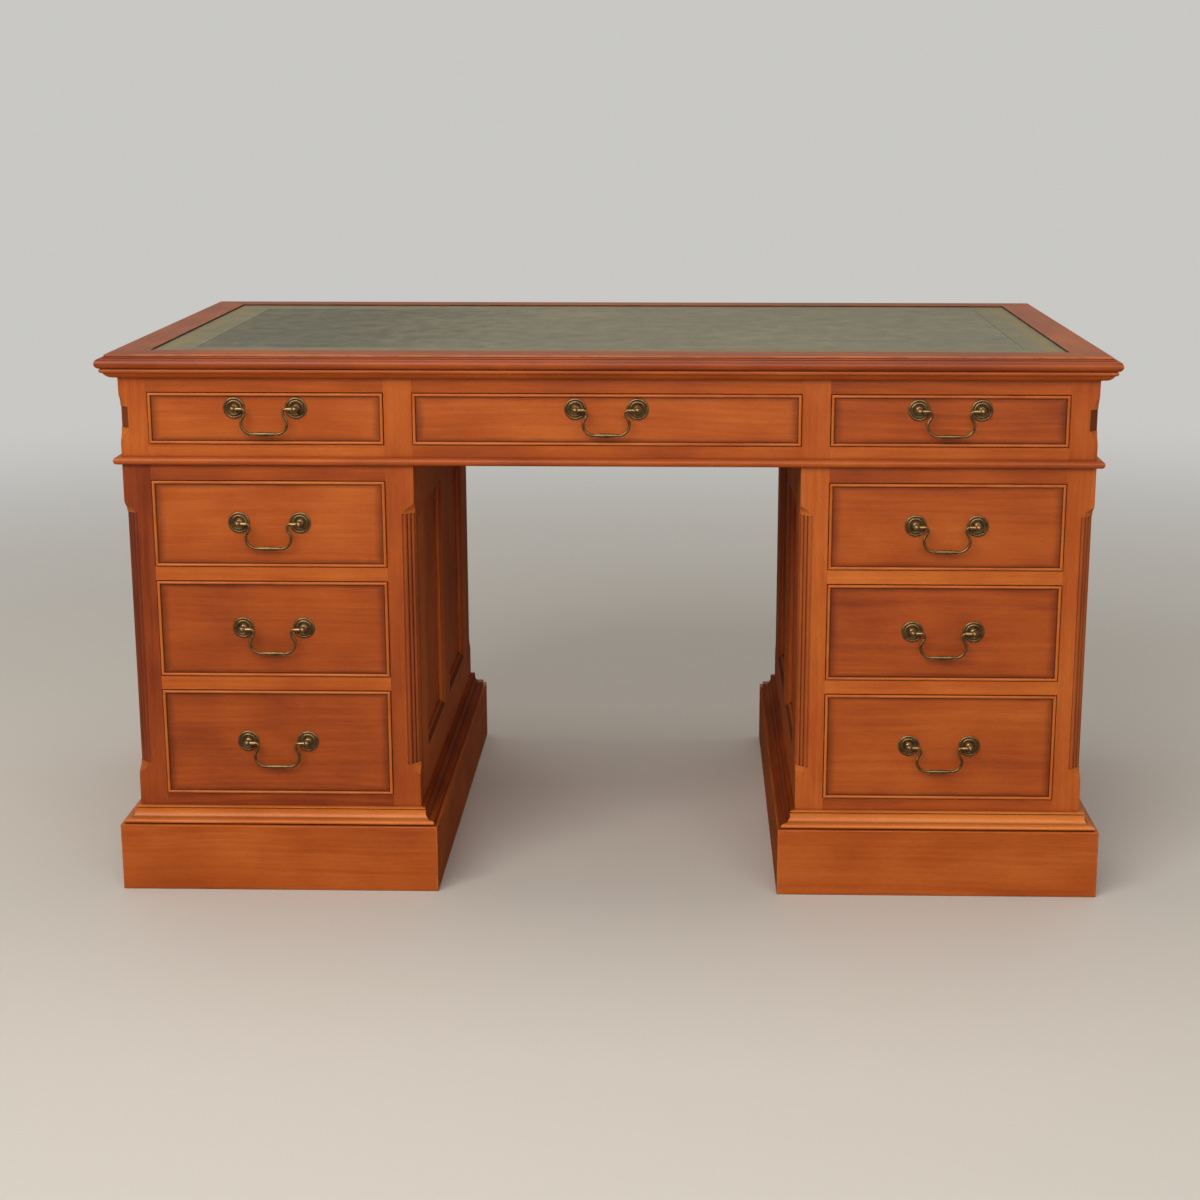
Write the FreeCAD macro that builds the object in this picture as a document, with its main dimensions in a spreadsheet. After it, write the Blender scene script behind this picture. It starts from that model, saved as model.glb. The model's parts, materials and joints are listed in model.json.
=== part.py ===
import FreeCAD, Part
import os
import re

import Sketcher

# Twin-pedestal writing desk with nine drawers, swan-neck handles and a leather top.
# Millimetres. The origin is on the floor under the middle of the desk, the drawers face -Y and +Z is up.

SIZES = {
    # Whole desk
    "desk_width": 1380,
    "desk_depth": 764,
    "desk_height": 762,
    # Top: border boards with a moulded edge, core panel and leather.
    # A setback is measured in from the nose, and a drop down from the top's face.
    # A size that ends in bend is an arc's radius as a part of its chord.
    "top_thickness": 19,
    "top_overhang": 25,
    "border_width": 62,
    "nose_height": 6.8,
    "nose_setback": 4.4,
    "nose_bend": 0.68,
    "crest_setback": 8.4,
    "crest_drop": 5.6,
    "edge_quirk": 0.8,
    "round_setback": 11,
    "round_drop": 2.6,
    "round_bend": 0.9,
    "flat_setback": 14.8,
    "leather_thickness": 1.2,
    "leather_recess": 2.2,
    # Frieze and its two mouldings
    "cornice_height": 15,
    "cornice_projection": 20,
    "cornice_bead": 6.5,
    "cornice_fillet": 1,
    "ovolo_projection": 15.5,
    "ovolo_quirk": 0.8,
    "astragal_height": 10.5,
    "astragal_projection": 10,
    "frieze_top_rail": 19,
    "frieze_drawer_height": 70,
    "frieze_bottom_rail": 27.5,
    # Pedestals
    "pedestal_width": 400,
    "post_width": 38.5,
    "frame_thickness": 22,
    "stile_width": 70,
    "muntin_width": 76,
    "frame_top_rail": 81.5,
    "frame_foot_show": 63.5,
    "panel_recess": 10,
    "panel_splay": 5,
    "panel_thickness": 8,
    "pedestal_top_rail": 22,
    "drawer_rail": 19.5,
    "foot_rail_show": 17,
    "dustboard_thickness": 12,
    # Stopped cants on the corner posts
    "cant_width": 14,
    "tongue_length": 20,
    "cant_foot_margin": 62.5,
    "cant_head_margin": 68.5,
    "reed_radius": 3.2,
    "reed_pitch": 6.7,
    "reed_depth": 2.5,
    "frieze_cant_width": 8.8,
    "frieze_cant_length": 29,
    "frieze_cant_sink": 2.2,
    "frieze_tongue_length": 24,
    # Plinth
    "plinth_height": 96,
    "plinth_projection": 25,
    "plinth_moulding_height": 22.5,
    "plinth_bead_height": 6.5,
    "plinth_ledge": 4.8,
    "plinth_quirk": 1.2,
    "plinth_fillet": 1.8,
    "hollow_foot_reach": 12.5,
    "hollow_head_reach": 7.6,
    "hollow_bend": 0.75,
    # Drawers: those of a pedestal deepen by one step from each to the next below
    "drawer_step": 15.75,
    "drawer_back_gap": 52,
    "drawer_gap": 1,
    "front_thickness": 20,
    "bead_thickness": 4,
    "bead_proud": 3,
    "bead_let": 7,
    "tail_length": 12,
    "tail_pitch": 28,
    "tail_flare": 2.2,
    "pin_width": 7,
    "box_inset": 1,
    "box_drop": 8,
    "side_thickness": 10,
    "back_thickness": 10,
    "bottom_thickness": 6,
    "bottom_rise": 8,
    # What the drawers run on
    "running_clearance": 0.3,
    "guide_clearance": 0.5,
    "guide_height": 20,
    "runner_thickness": 12,
    "runner_lap": 15,
    # Handles
    "handle_pitch": 84.5,
    "handle_lift": 2,
    "frieze_handle_drop": 20.5,
    "rosette_diameter": 30,
    "rosette_edge": 1,
    "rosette_ring": 3.5,
    "rosette_step": 0.6,
    "ring_bend": 0.6,
    "rosette_dish_diameter": 10,
    "rosette_dish_height": 1.2,
    "bolt_diameter": 4,
    "bolt_clearance": 0.25,
    "bolt_tail": 7,
    "nut_thickness": 5,
    "nut_radius": 4.5,
    "collar_diameter": 8,
    "collar_height": 2,
    "neck_diameter": 5.2,
    "pommel_diameter": 9.2,
    "pommel_reach": 12,
    "wire_diameter": 4,
    "pin_clearance": 0.05,
    "pin_end_gap": 0.5,
    "hook_reach": 16,
    "hook_radius": 4.5,
    "neck_reach": 10.85,
    "neck_drop": 19.6,
    "bail_drop": 34.3,
    "grip_diameter": 6.4,
}

# Places that follow from the sizes, as expressions
FACE_X = "(desk_width / 2 - top_overhang)"
FACE_Y = "(desk_depth / 2 - top_overhang)"
INNER_X = f"({FACE_X} - post_width)"
INNER_Y = f"({FACE_Y} - post_width)"
TOP_UNDERSIDE = "(desk_height - top_thickness)"
FRIEZE_HEAD = f"({TOP_UNDERSIDE} - cornice_height - frieze_top_rail)"
FRIEZE_FOOT = f"({FRIEZE_HEAD} - frieze_drawer_height - 2 * drawer_gap)"
PEDESTAL_HEAD = f"({FRIEZE_FOOT} - frieze_bottom_rail)"
PLINTH_HEAD = "(plinth_height + plinth_moulding_height)"
PEDESTAL_X = f"({FACE_X} - pedestal_width / 2)"
KNEE_X = f"({FACE_X} - pedestal_width)"
OPENING_HALF = "(pedestal_width / 2 - post_width)"
CARCASE_HALF = "(pedestal_width / 2 - frame_thickness)"
LOWER_RAIL_HEAD = f"({PLINTH_HEAD} + foot_rail_show)"
UPPER_RAIL_FOOT = f"({PEDESTAL_HEAD} - pedestal_top_rail)"
DRAWER_SPACE = f"({UPPER_RAIL_FOOT} - {LOWER_RAIL_HEAD} - 2 * drawer_rail)"
MIDDLE_HEIGHT = f"({DRAWER_SPACE} / 3 - 2 * drawer_gap)"
DRAWER_HEIGHTS = {
    "upper": f"({MIDDLE_HEIGHT} - drawer_step)",
    "middle": MIDDLE_HEIGHT,
    "lower": f"({MIDDLE_HEIGHT} + drawer_step)",
}
DRAWER_LENGTH = f"(2 * {FACE_Y} - frame_thickness - drawer_back_gap)"
BOX_MARGIN = "(drawer_gap + box_inset)"
CANT_DEPTH = "(cant_width / sqrt(2))"
FRIEZE_CANT_DEPTH = "(frieze_cant_width / sqrt(2))"

BACK, FRONT, RIGHT, LEFT = 0, 180, -90, 90
VERTICAL = FreeCAD.Vector(0, 0, 1)
ACROSS = FreeCAD.Vector(0, 1, 0)
FORWARDS = FreeCAD.Rotation(FreeCAD.Vector(1, 0, 0), 90)

doc = FreeCAD.newDocument("pedestal_desk")
sheet = doc.addObject("Spreadsheet::Sheet", "sizes")
for row, (alias, value) in enumerate(SIZES.items(), start=1):
    sheet.set(f"A{row}", alias)
    sheet.set(f"B{row}", str(value))
    sheet.setAlias(f"B{row}", alias)
doc.recompute()
nodes = []


def linked(expression):
    """Point the size names in an expression at their cells."""
    return re.sub(r"[a-z_]+", lambda word: f"sizes.{word[0]}" if word[0] in SIZES else word[0], expression)


def value_of(expression):
    return float(sheet.evalExpression(linked(expression)))


def bind(thing, **expressions):
    for name, expression in expressions.items():
        thing.setExpression(name, linked(expression))


def put(thing, x="0", y="0", z="0", turn=FreeCAD.Rotation()):
    """Turn an object and bind its place."""
    thing.Placement = FreeCAD.Placement(FreeCAD.Vector(), turn)
    for axis, expression in (("x", x), ("y", y), ("z", z)):
        thing.setExpression(f"Placement.Base.{axis}", linked(expression))
    return thing


def board(name, x, y, z):
    """A rectangular board between pairs of coordinates."""
    thing = doc.addObject("Part::Box", name)
    for side, (low, high) in (("Length", x), ("Width", y), ("Height", z)):
        bind(thing, **{side: f"({high}) - ({low})"})
    return put(thing, x[0], y[0], z[0])


def group(name, pieces, x="0", y="0", z="0", turn=FreeCAD.Rotation()):
    """Pieces taken together and set at a place, so one piece can serve in several."""
    thing = doc.addObject("Part::Compound", name)
    thing.Links = pieces
    return put(thing, x, y, z, turn)


def node(label, pieces, x="0", y="0", z="0", turn=FreeCAD.Rotation()):
    thing = group(label, pieces, x, y, z, turn)
    thing.Label = label
    nodes.append(thing)


def corner_gap(start, end):
    """Length of the straight line between two corners, as an expression."""
    return f"sqrt(({end[0]} - ({start[0]}))^2 + ({end[1]} - ({start[1]}))^2)"


def draw(sketch, corners, closed=True):
    """Draw lines and arcs through corners held at bound coordinates.

    A corner is x, y and, where an arc leads to the next corner, its radius and the side
    that it bulges to: 1 for the left of the way drawn, -1 for the right.
    """
    count = len(corners) if closed else len(corners) - 1
    ends = []
    for index in range(count):
        here, there = corners[index], corners[(index + 1) % len(corners)]
        start, end = [FreeCAD.Vector(value_of(c[0]), value_of(c[1]), 0) for c in (here, there)]
        if len(here) == 2:
            edge = sketch.addGeometry(Part.LineSegment(start, end))
        else:
            radius, chord = value_of(here[2]), end - start
            rise = radius - max(radius ** 2 - chord.Length ** 2 / 4, 0) ** 0.5
            left = FreeCAD.Vector(-chord.y, chord.x, 0).normalize()
            middle = (start + end) / 2 + left * rise * here[3]
            turning_left = here[3] < 0
            tips = (start, middle, end) if turning_left else (end, middle, start)
            edge = sketch.addGeometry(Part.Arc(*tips))
            spot = sketch.addConstraint(Sketcher.Constraint("Radius", edge, radius))
            sketch.setExpression(f"Constraints[{spot}]", linked(here[2]))
        backwards = len(here) > 2 and here[3] > 0
        ends.append((edge, 2, 1) if backwards else (edge, 1, 2))
    for index, (edge, first, last) in enumerate(ends):
        hold(sketch, edge, first, corners[index])
        if index + 1 < len(ends) or closed:
            after, after_first, _ = ends[(index + 1) % len(ends)]
            sketch.addConstraint(Sketcher.Constraint("Coincident", edge, last, after, after_first))
        else:
            hold(sketch, edge, last, corners[-1])
    return sketch


def hold(sketch, edge, end, corner):
    """Hold the end of an edge at a corner's coordinates."""
    for kind, expression in (("DistanceX", corner[0]), ("DistanceY", corner[1])):
        spot = sketch.addConstraint(Sketcher.Constraint(kind, -1, 1, edge, end, value_of(expression)))
        sketch.setExpression(f"Constraints[{spot}]", linked(expression))


def section(name, corners):
    """A moulding's section: sketch x runs outwards (+Y), sketch y runs up."""
    sketch = doc.addObject("Sketcher::SketchObject", name)
    sketch.Placement.Rotation = FreeCAD.Rotation(FreeCAD.Vector(1, 1, 1), 120)
    return draw(sketch, corners)


def mitred_board(name, length, depth, height):
    """A board along X whose outer face (+Y) is longer by its depth at each end."""
    thing = doc.addObject("Part::Wedge", name)
    bind(thing, Xmin=f"-({length}) / 2", Xmax=f"({length}) / 2", Ymin="0", Ymax=depth)
    bind(thing, X2min=f"-({length}) / 2 - ({depth})", X2max=f"({length}) / 2 + ({depth})")
    bind(thing, Zmin="0", Zmax=height, Z2min="0", Z2max=height)
    return thing


def mitred_moulding(name, profile, length, depth, height):
    """A moulding of a given section, cut from a longer bar to a mitred board's ends."""
    bar = doc.addObject("Part::Extrusion", f"{name}_bar")
    bar.Base = profile
    bar.DirMode = "Normal"
    bar.Solid = True
    bar.Symmetric = True
    bind(bar, LengthFwd=f"{length} + 4 * ({depth})")
    thing = doc.addObject("Part::Common", name)
    thing.Base = bar
    thing.Tool = mitred_board(f"{name}_ends", length, depth, height)
    return thing


def ring(name, maker, half_x, half_y, z):
    """Four mitred lengths round a rectangle, facing outwards."""
    along_x = maker(f"{name}_x", f"2 * {half_x}")
    along_y = maker(f"{name}_y", f"2 * {half_y}")
    spots = ((BACK, along_x, "0", half_y), (FRONT, along_x, "0", f"-{half_y}"),
             (RIGHT, along_y, half_x, "0"), (LEFT, along_y, f"-{half_x}", "0"))
    return [group(f"{name}_{index}", [piece], x, y, z, FreeCAD.Rotation(VERTICAL, angle))
            for index, (angle, piece, x, y) in enumerate(spots)]


def sketch_on(body, role, name):
    """A sketch on one of a body's own planes."""
    sketch = body.newObject("Sketcher::SketchObject", name)
    plane = [feature for feature in body.Origin.OriginFeatures if feature.Role == role][0]
    sketch.AttachmentSupport = [(plane, "")]
    sketch.MapMode = "FlatFace"
    return sketch


def turned(name, corners):
    """A body turned about the Y axis from a section of radius and distance along Y."""
    body = doc.addObject("PartDesign::Body", name)
    sketch = draw(sketch_on(body, "XY_Plane", f"{name}_section"), corners)
    turning = body.newObject("PartDesign::Revolution", f"{name}_turning")
    turning.Profile = sketch
    turning.ReferenceAxis = (sketch, ["V_Axis"])
    turning.Angle = 360
    return body


def cut(name, base, tool):
    thing = doc.addObject("Part::Cut", name)
    thing.Base = base
    thing.Tool = tool
    return thing


def fuse(name, pieces):
    thing = doc.addObject("Part::MultiFuse", name)
    thing.Shapes = pieces
    thing.Refine = True
    return thing


def make_top():
    """Border boards mitred round the leather, and the core panel that carries it.

    Their edge is a full nose, a quirk, a narrow fillet, another quirk and a small round up to the flat.
    """
    nose_foot, tip = ("border_width - nose_setback", "0"), ("border_width", "nose_height")
    crest = ("border_width - crest_setback", "top_thickness - crest_drop")
    round_foot = ("border_width - round_setback", "top_thickness - round_drop")
    flat_edge = ("border_width - flat_setback", "top_thickness")
    edge = section("border_section", [
        ("0", "0"),
        (*nose_foot, f"round_bend * {corner_gap(nose_foot, tip)}", -1),
        (*tip, f"nose_bend * {corner_gap(tip, crest)}", -1),
        crest,
        (f"{crest[0]} - edge_quirk", crest[1]),
        (f"{crest[0]} - edge_quirk", f"{crest[1]} + edge_quirk"),
        (crest[0], f"{crest[1]} + edge_quirk"),
        (round_foot[0], f"{round_foot[1]} - edge_quirk"),
        (f"{round_foot[0]} - edge_quirk", f"{round_foot[1]} - edge_quirk"),
        (f"{round_foot[0]} - edge_quirk", round_foot[1]),
        (*round_foot, f"round_bend * {corner_gap(round_foot, flat_edge)}", -1),
        flat_edge,
        ("0", "top_thickness"),
    ])
    half_x, half_y = "(desk_width / 2 - border_width)", "(desk_depth / 2 - border_width)"

    def border(name, length):
        return mitred_moulding(name, edge, length, "border_width", "top_thickness")

    node("top_border", ring("border", border, half_x, half_y, TOP_UNDERSIDE))
    leather_top = "desk_height - leather_recess"
    leather_foot = f"{leather_top} - leather_thickness"
    reach_x, reach_y = (f"-{half_x}", half_x), (f"-{half_y}", half_y)
    node("top_panel", [board("core", reach_x, reach_y, (TOP_UNDERSIDE, leather_foot))])
    node("top_leather", [board("leather", reach_x, reach_y, (leather_foot, leather_top))])


def make_frieze_mouldings():
    """Bead and ovolo under the top, and half-round astragal at the foot, mitred round the frieze."""
    bead_radius, bead_foot = "cornice_bead / 2", "cornice_height - cornice_bead"
    bead_start = f"cornice_projection - {bead_radius}"
    ovolo_foot = ("cornice_fillet", "cornice_fillet")
    ovolo_head = ("ovolo_projection", f"{bead_foot} - ovolo_quirk")
    cornice_section = section("cornice_section", [
        ("0", "0"),
        ("cornice_fillet", "0"),
        (*ovolo_foot, f"round_bend * {corner_gap(ovolo_foot, ovolo_head)}", -1),
        ovolo_head,
        ("ovolo_projection", bead_foot),
        (bead_start, bead_foot, bead_radius, -1),
        ("cornice_projection", f"cornice_height - {bead_radius}", bead_radius, -1),
        (bead_start, "cornice_height"),
        ("0", "cornice_height"),
    ])
    round_start, round_radius = "astragal_projection - astragal_height / 2", "astragal_height / 2"
    astragal_section = section("astragal_section", [
        ("0", "0"),
        (round_start, "0", round_radius, -1),
        ("astragal_projection", round_radius, round_radius, -1),
        (round_start, "astragal_height"),
        ("0", "astragal_height"),
    ])

    def cornice(name, length):
        return mitred_moulding(name, cornice_section, length, "cornice_projection", "cornice_height")

    def astragal(name, length):
        return mitred_moulding(name, astragal_section, length, "astragal_projection", "astragal_height")

    lengths = ring("cornice", cornice, FACE_X, FACE_Y, f"{TOP_UNDERSIDE} - cornice_height")
    lengths += ring("astragal", astragal, FACE_X, FACE_Y, PEDESTAL_HEAD)
    node("frieze_mouldings", lengths)


def tongue(name, foot, head, length, depth, sink):
    """The cutter of a stopped cant: sketch x runs in from the post's corner, sketch y runs up.

    The cant fades out at each end in a lamb's tongue, and between the tongues it lies
    deeper by sink. The cutter is wider than the post's diagonal.
    """
    inwards = FreeCAD.Vector(1, 1, 0).normalize()
    sideways = inwards.cross(VERTICAL)
    sketch = doc.addObject("Sketcher::SketchObject", f"{name}_section")
    sketch.Placement.Rotation = FreeCAD.Rotation(inwards, VERTICAL, sideways, "XYZ")
    middle = f"{depth} / 2"
    bend = f"({depth}^2 + {length}^2) / (4 * {depth})"
    floor = f"{depth} + {sink}"
    lower_middle, upper_middle = f"{foot} - {length} / 2", f"{head} + {length} / 2"
    lower_end, upper_end = f"{foot} - {length}", f"{head} + {length}"
    clear = "-post_width"
    draw(sketch, [
        (clear, lower_end),
        ("0", lower_end, bend, 1),
        (middle, lower_middle, bend, -1),
        (depth, foot),
        (floor, foot),
        (floor, head),
        (depth, head, bend, -1),
        (middle, upper_middle, bend, 1),
        ("0", upper_end),
        (clear, upper_end),
    ])
    cutter = doc.addObject("Part::Extrusion", name)
    cutter.Base = sketch
    cutter.DirMode = "Normal"
    cutter.Solid = True
    cutter.Symmetric = True
    bind(cutter, LengthFwd="2 * post_width")
    return cutter


def canted_post(name, foot, head, cant_foot, cant_head, *cant_sizes):
    """A square post with its outer corner at the origin, canted there between two stops."""
    blank = board(f"{name}_blank", ("0", "post_width"), ("0", "post_width"), (foot, head))
    return cut(name, blank, tongue(f"{name}_cant", cant_foot, cant_head, *cant_sizes))


def at_corners(name, post, half_x, half_y):
    """A post set at the four corners of a rectangle, its cant outwards."""
    spots = ((0, f"-{half_x}", f"-{half_y}"), (90, half_x, f"-{half_y}"),
             (180, half_x, half_y), (-90, f"-{half_x}", half_y))
    return [group(f"{name}_{index}", [post], x, y, "0", FreeCAD.Rotation(VERTICAL, angle))
            for index, (angle, x, y) in enumerate(spots)]


def make_frieze():
    """Posts, front rails and muntins, end and back boards, and the drawers' runners."""
    middle = f"({PEDESTAL_HEAD} + astragal_height + {TOP_UNDERSIDE} - cornice_height) / 2"
    post = canted_post("frieze_post", PEDESTAL_HEAD, TOP_UNDERSIDE,
                       f"({middle} - frieze_cant_length / 2)", f"({middle} + frieze_cant_length / 2)",
                       "frieze_tongue_length", FRIEZE_CANT_DEPTH, "frieze_cant_sink")
    node("frieze_posts", at_corners("frieze_corner", post, FACE_X, FACE_Y))

    full_height = (PEDESTAL_HEAD, TOP_UNDERSIDE)
    front_y = (f"-{FACE_Y}", f"-{INNER_Y}")
    muntin_outer = f"({KNEE_X} + post_width)"
    bays = {"left": (f"-{INNER_X}", f"-{muntin_outer}"), "centre": (f"-{KNEE_X}", KNEE_X),
            "right": (muntin_outer, INNER_X)}
    pieces = [board("frieze_muntin_left", (f"-{muntin_outer}", f"-{KNEE_X}"), front_y, full_height),
              board("frieze_muntin_right", (KNEE_X, muntin_outer), front_y, full_height)]
    for name, bay in bays.items():
        pieces.append(board(f"frieze_head_{name}", bay, front_y, (FRIEZE_HEAD, TOP_UNDERSIDE)))
        pieces.append(board(f"frieze_foot_{name}", bay, front_y, (PEDESTAL_HEAD, FRIEZE_FOOT)))
    node("frieze_front", pieces)

    end_x, side_y = f"({FACE_X} - frame_thickness)", (f"-{INNER_Y}", INNER_Y)
    back_y = f"({FACE_Y} - frame_thickness)"
    node("frieze_boards", [
        board("frieze_end_left", (f"-{FACE_X}", f"-{end_x}"), side_y, full_height),
        board("frieze_end_right", (end_x, FACE_X), side_y, full_height),
        board("frieze_back", (f"-{INNER_X}", INNER_X), (back_y, FACE_Y), full_height),
    ])

    # One runner under each end of the drawers, with a guide on it and a kicker above
    guide_margin = f"({BOX_MARGIN} - guide_clearance)"
    inner_guide = (f"{KNEE_X} - {guide_margin}", f"{muntin_outer} + {guide_margin}")
    outer_guide = (f"{INNER_X} - {guide_margin}", end_x)
    inner_runner = (f"{inner_guide[0]} - runner_lap", f"{inner_guide[1]} + runner_lap")
    outer_runner = (f"{outer_guide[0]} - runner_lap", end_x)
    runner_z = (f"{FRIEZE_FOOT} - runner_thickness", FRIEZE_FOOT)
    guide_z = (FRIEZE_FOOT, f"{FRIEZE_FOOT} + guide_height")
    kicker_z = (FRIEZE_HEAD, f"{FRIEZE_HEAD} + runner_thickness")
    pieces = []
    for name, guide, runner, stop in (("inner", inner_guide, inner_runner, back_y),
                                      ("outer", outer_guide, outer_runner, INNER_Y)):
        for hand in ("left", "right"):
            guide_x, runner_x = guide, runner
            if hand == "left":
                guide_x, runner_x = [(f"-({far})", f"-({near})") for near, far in (guide, runner)]
            y = (f"-{INNER_Y}", stop)
            pieces += [
                board(f"{hand}_{name}_runner", runner_x, y, runner_z),
                board(f"{hand}_{name}_guide", guide_x, y, guide_z),
                board(f"{hand}_{name}_kicker", runner_x, y, kicker_z),
            ]
    node("frieze_runners", pieces)


def in_both_pedestals(name, pieces):
    node(f"left_{name}", pieces, x=f"-{PEDESTAL_X}")
    node(f"right_{name}", pieces, x=PEDESTAL_X)


def pedestal_openings():
    """Lower and upper edge of each drawer opening in a pedestal, from the top one down."""
    openings = {}
    head = UPPER_RAIL_FOOT
    for name, height in DRAWER_HEIGHTS.items():
        foot = f"({head} - {height} - 2 * drawer_gap)"
        openings[name] = (foot, head)
        head = f"({foot} - drawer_rail)"
    return openings


def make_pedestal_posts():
    """Four posts, canted on the outer corner, with reeds standing in each cant."""
    cant_foot = f"({PLINTH_HEAD} + cant_foot_margin)"
    cant_head = f"({PEDESTAL_HEAD} - cant_head_margin)"
    canted = canted_post("canted_post", "0", PEDESTAL_HEAD, cant_foot, cant_head,
                         "tongue_length", CANT_DEPTH, "reed_depth")
    reeds = []
    for place in (-1, 0, 1):
        reed = doc.addObject("Part::Cylinder", "reed")
        bind(reed, Radius="reed_radius", Height=f"{cant_head} - {cant_foot}")
        depth, offset = f"({CANT_DEPTH} + reed_radius)", f"{place} * reed_pitch"
        put(reed, f"({depth} + {offset}) / sqrt(2)", f"({depth} - {offset}) / sqrt(2)", cant_foot)
        reeds.append(reed)
    post = fuse("pedestal_post", [canted, *reeds])
    in_both_pedestals("pedestal_posts", at_corners("pedestal_corner", post, "pedestal_width / 2", FACE_Y))


def splay(name, across, upright, face, angle):
    """A cutter that splays the edges of an opening in a frame. Its Y axis runs out of the frame's face."""
    (left, right), (foot, head) = across, upright
    thing = doc.addObject("Part::Wedge", name)
    bind(thing, Xmin=left, Xmax=right, Ymin=f"{face} - panel_splay", Ymax=f"{face} + panel_splay")
    bind(thing, X2min=f"{left} - 2 * panel_splay", X2max=f"{right} + 2 * panel_splay")
    bind(thing, Zmin=foot, Zmax=head)
    bind(thing, Z2min=f"{foot} - 2 * panel_splay", Z2max=f"{head} + 2 * panel_splay")
    return put(thing, turn=FreeCAD.Rotation(VERTICAL, angle))


def splayed(boards, cutter):
    return [cut(f"{piece.Name}_splayed", piece, cutter) for piece in boards]


def make_pedestal_sides():
    """Framed sides with two flat panels each, and a framed back with one, in splayed openings."""
    half, side_y = "(pedestal_width / 2)", (f"-{INNER_Y}", INNER_Y)
    frame_foot = f"({PLINTH_HEAD} + frame_foot_show)"
    frame_head = f"({PEDESTAL_HEAD} - frame_top_rail)"
    upper, lower = (frame_head, PEDESTAL_HEAD), ("0", frame_foot)
    between = (frame_foot, frame_head)
    stile_y, muntin_y = f"({INNER_Y} - stile_width)", "(muntin_width / 2)"
    panel_face = f"({half} - panel_recess)"
    front_bay, back_bay = (f"-{stile_y}", f"-{muntin_y}"), (muntin_y, stile_y)
    frames, panels = [], []
    for hand, angle in (("left", LEFT), ("right", RIGHT)):
        frame_x, panel_x = (CARCASE_HALF, half), (f"{panel_face} - panel_thickness", panel_face)
        if hand == "left":
            frame_x, panel_x = [(f"-({far})", f"-({near})") for near, far in (frame_x, panel_x)]
        splays = [splay(f"{hand}_splay", bay, between, half, angle) for bay in (front_bay, back_bay)]
        boards = [
            board(f"{hand}_top_rail", frame_x, side_y, upper),
            board(f"{hand}_bottom_rail", frame_x, side_y, lower),
            board(f"{hand}_front_stile", frame_x, (f"-{INNER_Y}", f"-{stile_y}"), between),
            board(f"{hand}_muntin", frame_x, (f"-{muntin_y}", muntin_y), between),
            board(f"{hand}_back_stile", frame_x, (stile_y, INNER_Y), between),
        ]
        frames += splayed(boards, fuse(f"{hand}_splays", splays))
        panels += [
            board(f"{hand}_front_panel", panel_x, front_bay, between),
            board(f"{hand}_back_panel", panel_x, back_bay, between),
        ]
    back_x, back_y = (f"-{OPENING_HALF}", OPENING_HALF), (f"{FACE_Y} - frame_thickness", FACE_Y)
    stile_x = f"({OPENING_HALF} - stile_width)"
    panel_front = f"({FACE_Y} - panel_recess)"
    panel_y = (f"{panel_front} - panel_thickness", panel_front)
    back_bay = (f"-{stile_x}", stile_x)
    boards = [
        board("back_top_rail", back_x, back_y, upper),
        board("back_bottom_rail", back_x, back_y, lower),
        board("back_left_stile", (f"-{OPENING_HALF}", f"-{stile_x}"), back_y, between),
        board("back_right_stile", (stile_x, OPENING_HALF), back_y, between),
    ]
    frames += splayed(boards, splay("back_splay", back_bay, between, FACE_Y, BACK))
    panels.append(board("back_panel", back_bay, panel_y, between))
    in_both_pedestals("pedestal_frames", frames)
    in_both_pedestals("pedestal_panels", panels)


def make_pedestal_front():
    """Rails between the drawers, the boards behind them and the guides beside the drawers."""
    opening_x, carcase_x = (f"-{OPENING_HALF}", OPENING_HALF), (f"-{CARCASE_HALF}", CARCASE_HALF)
    rail_y, board_y = (f"-{FACE_Y}", f"-{INNER_Y}"), (f"-{INNER_Y}", INNER_Y)
    guide = f"({OPENING_HALF} - {BOX_MARGIN} + guide_clearance)"
    rail_z = (UPPER_RAIL_FOOT, PEDESTAL_HEAD)
    board_z = (f"{PEDESTAL_HEAD} - dustboard_thickness", PEDESTAL_HEAD)
    rails = [board("rail_top", opening_x, rail_y, rail_z)]
    boards = [board("top_board", carcase_x, board_y, board_z)]
    guides = []
    for name, (foot, _) in pedestal_openings().items():
        rail_foot = "0" if name == "lower" else f"{foot} - drawer_rail"
        board_z = (f"{foot} - dustboard_thickness", foot)
        guide_z = (foot, f"{foot} + guide_height")
        rails.append(board(f"rail_{name}", opening_x, rail_y, (rail_foot, foot)))
        boards.append(board(f"dustboard_{name}", carcase_x, board_y, board_z))
        guides.append(board(f"guide_left_{name}", (f"-{CARCASE_HALF}", f"-{guide}"), board_y, guide_z))
        guides.append(board(f"guide_right_{name}", (guide, CARCASE_HALF), board_y, guide_z))
    in_both_pedestals("pedestal_drawer_rails", rails)
    in_both_pedestals("pedestal_dustboards", boards)
    in_both_pedestals("pedestal_drawer_guides", guides)


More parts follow.
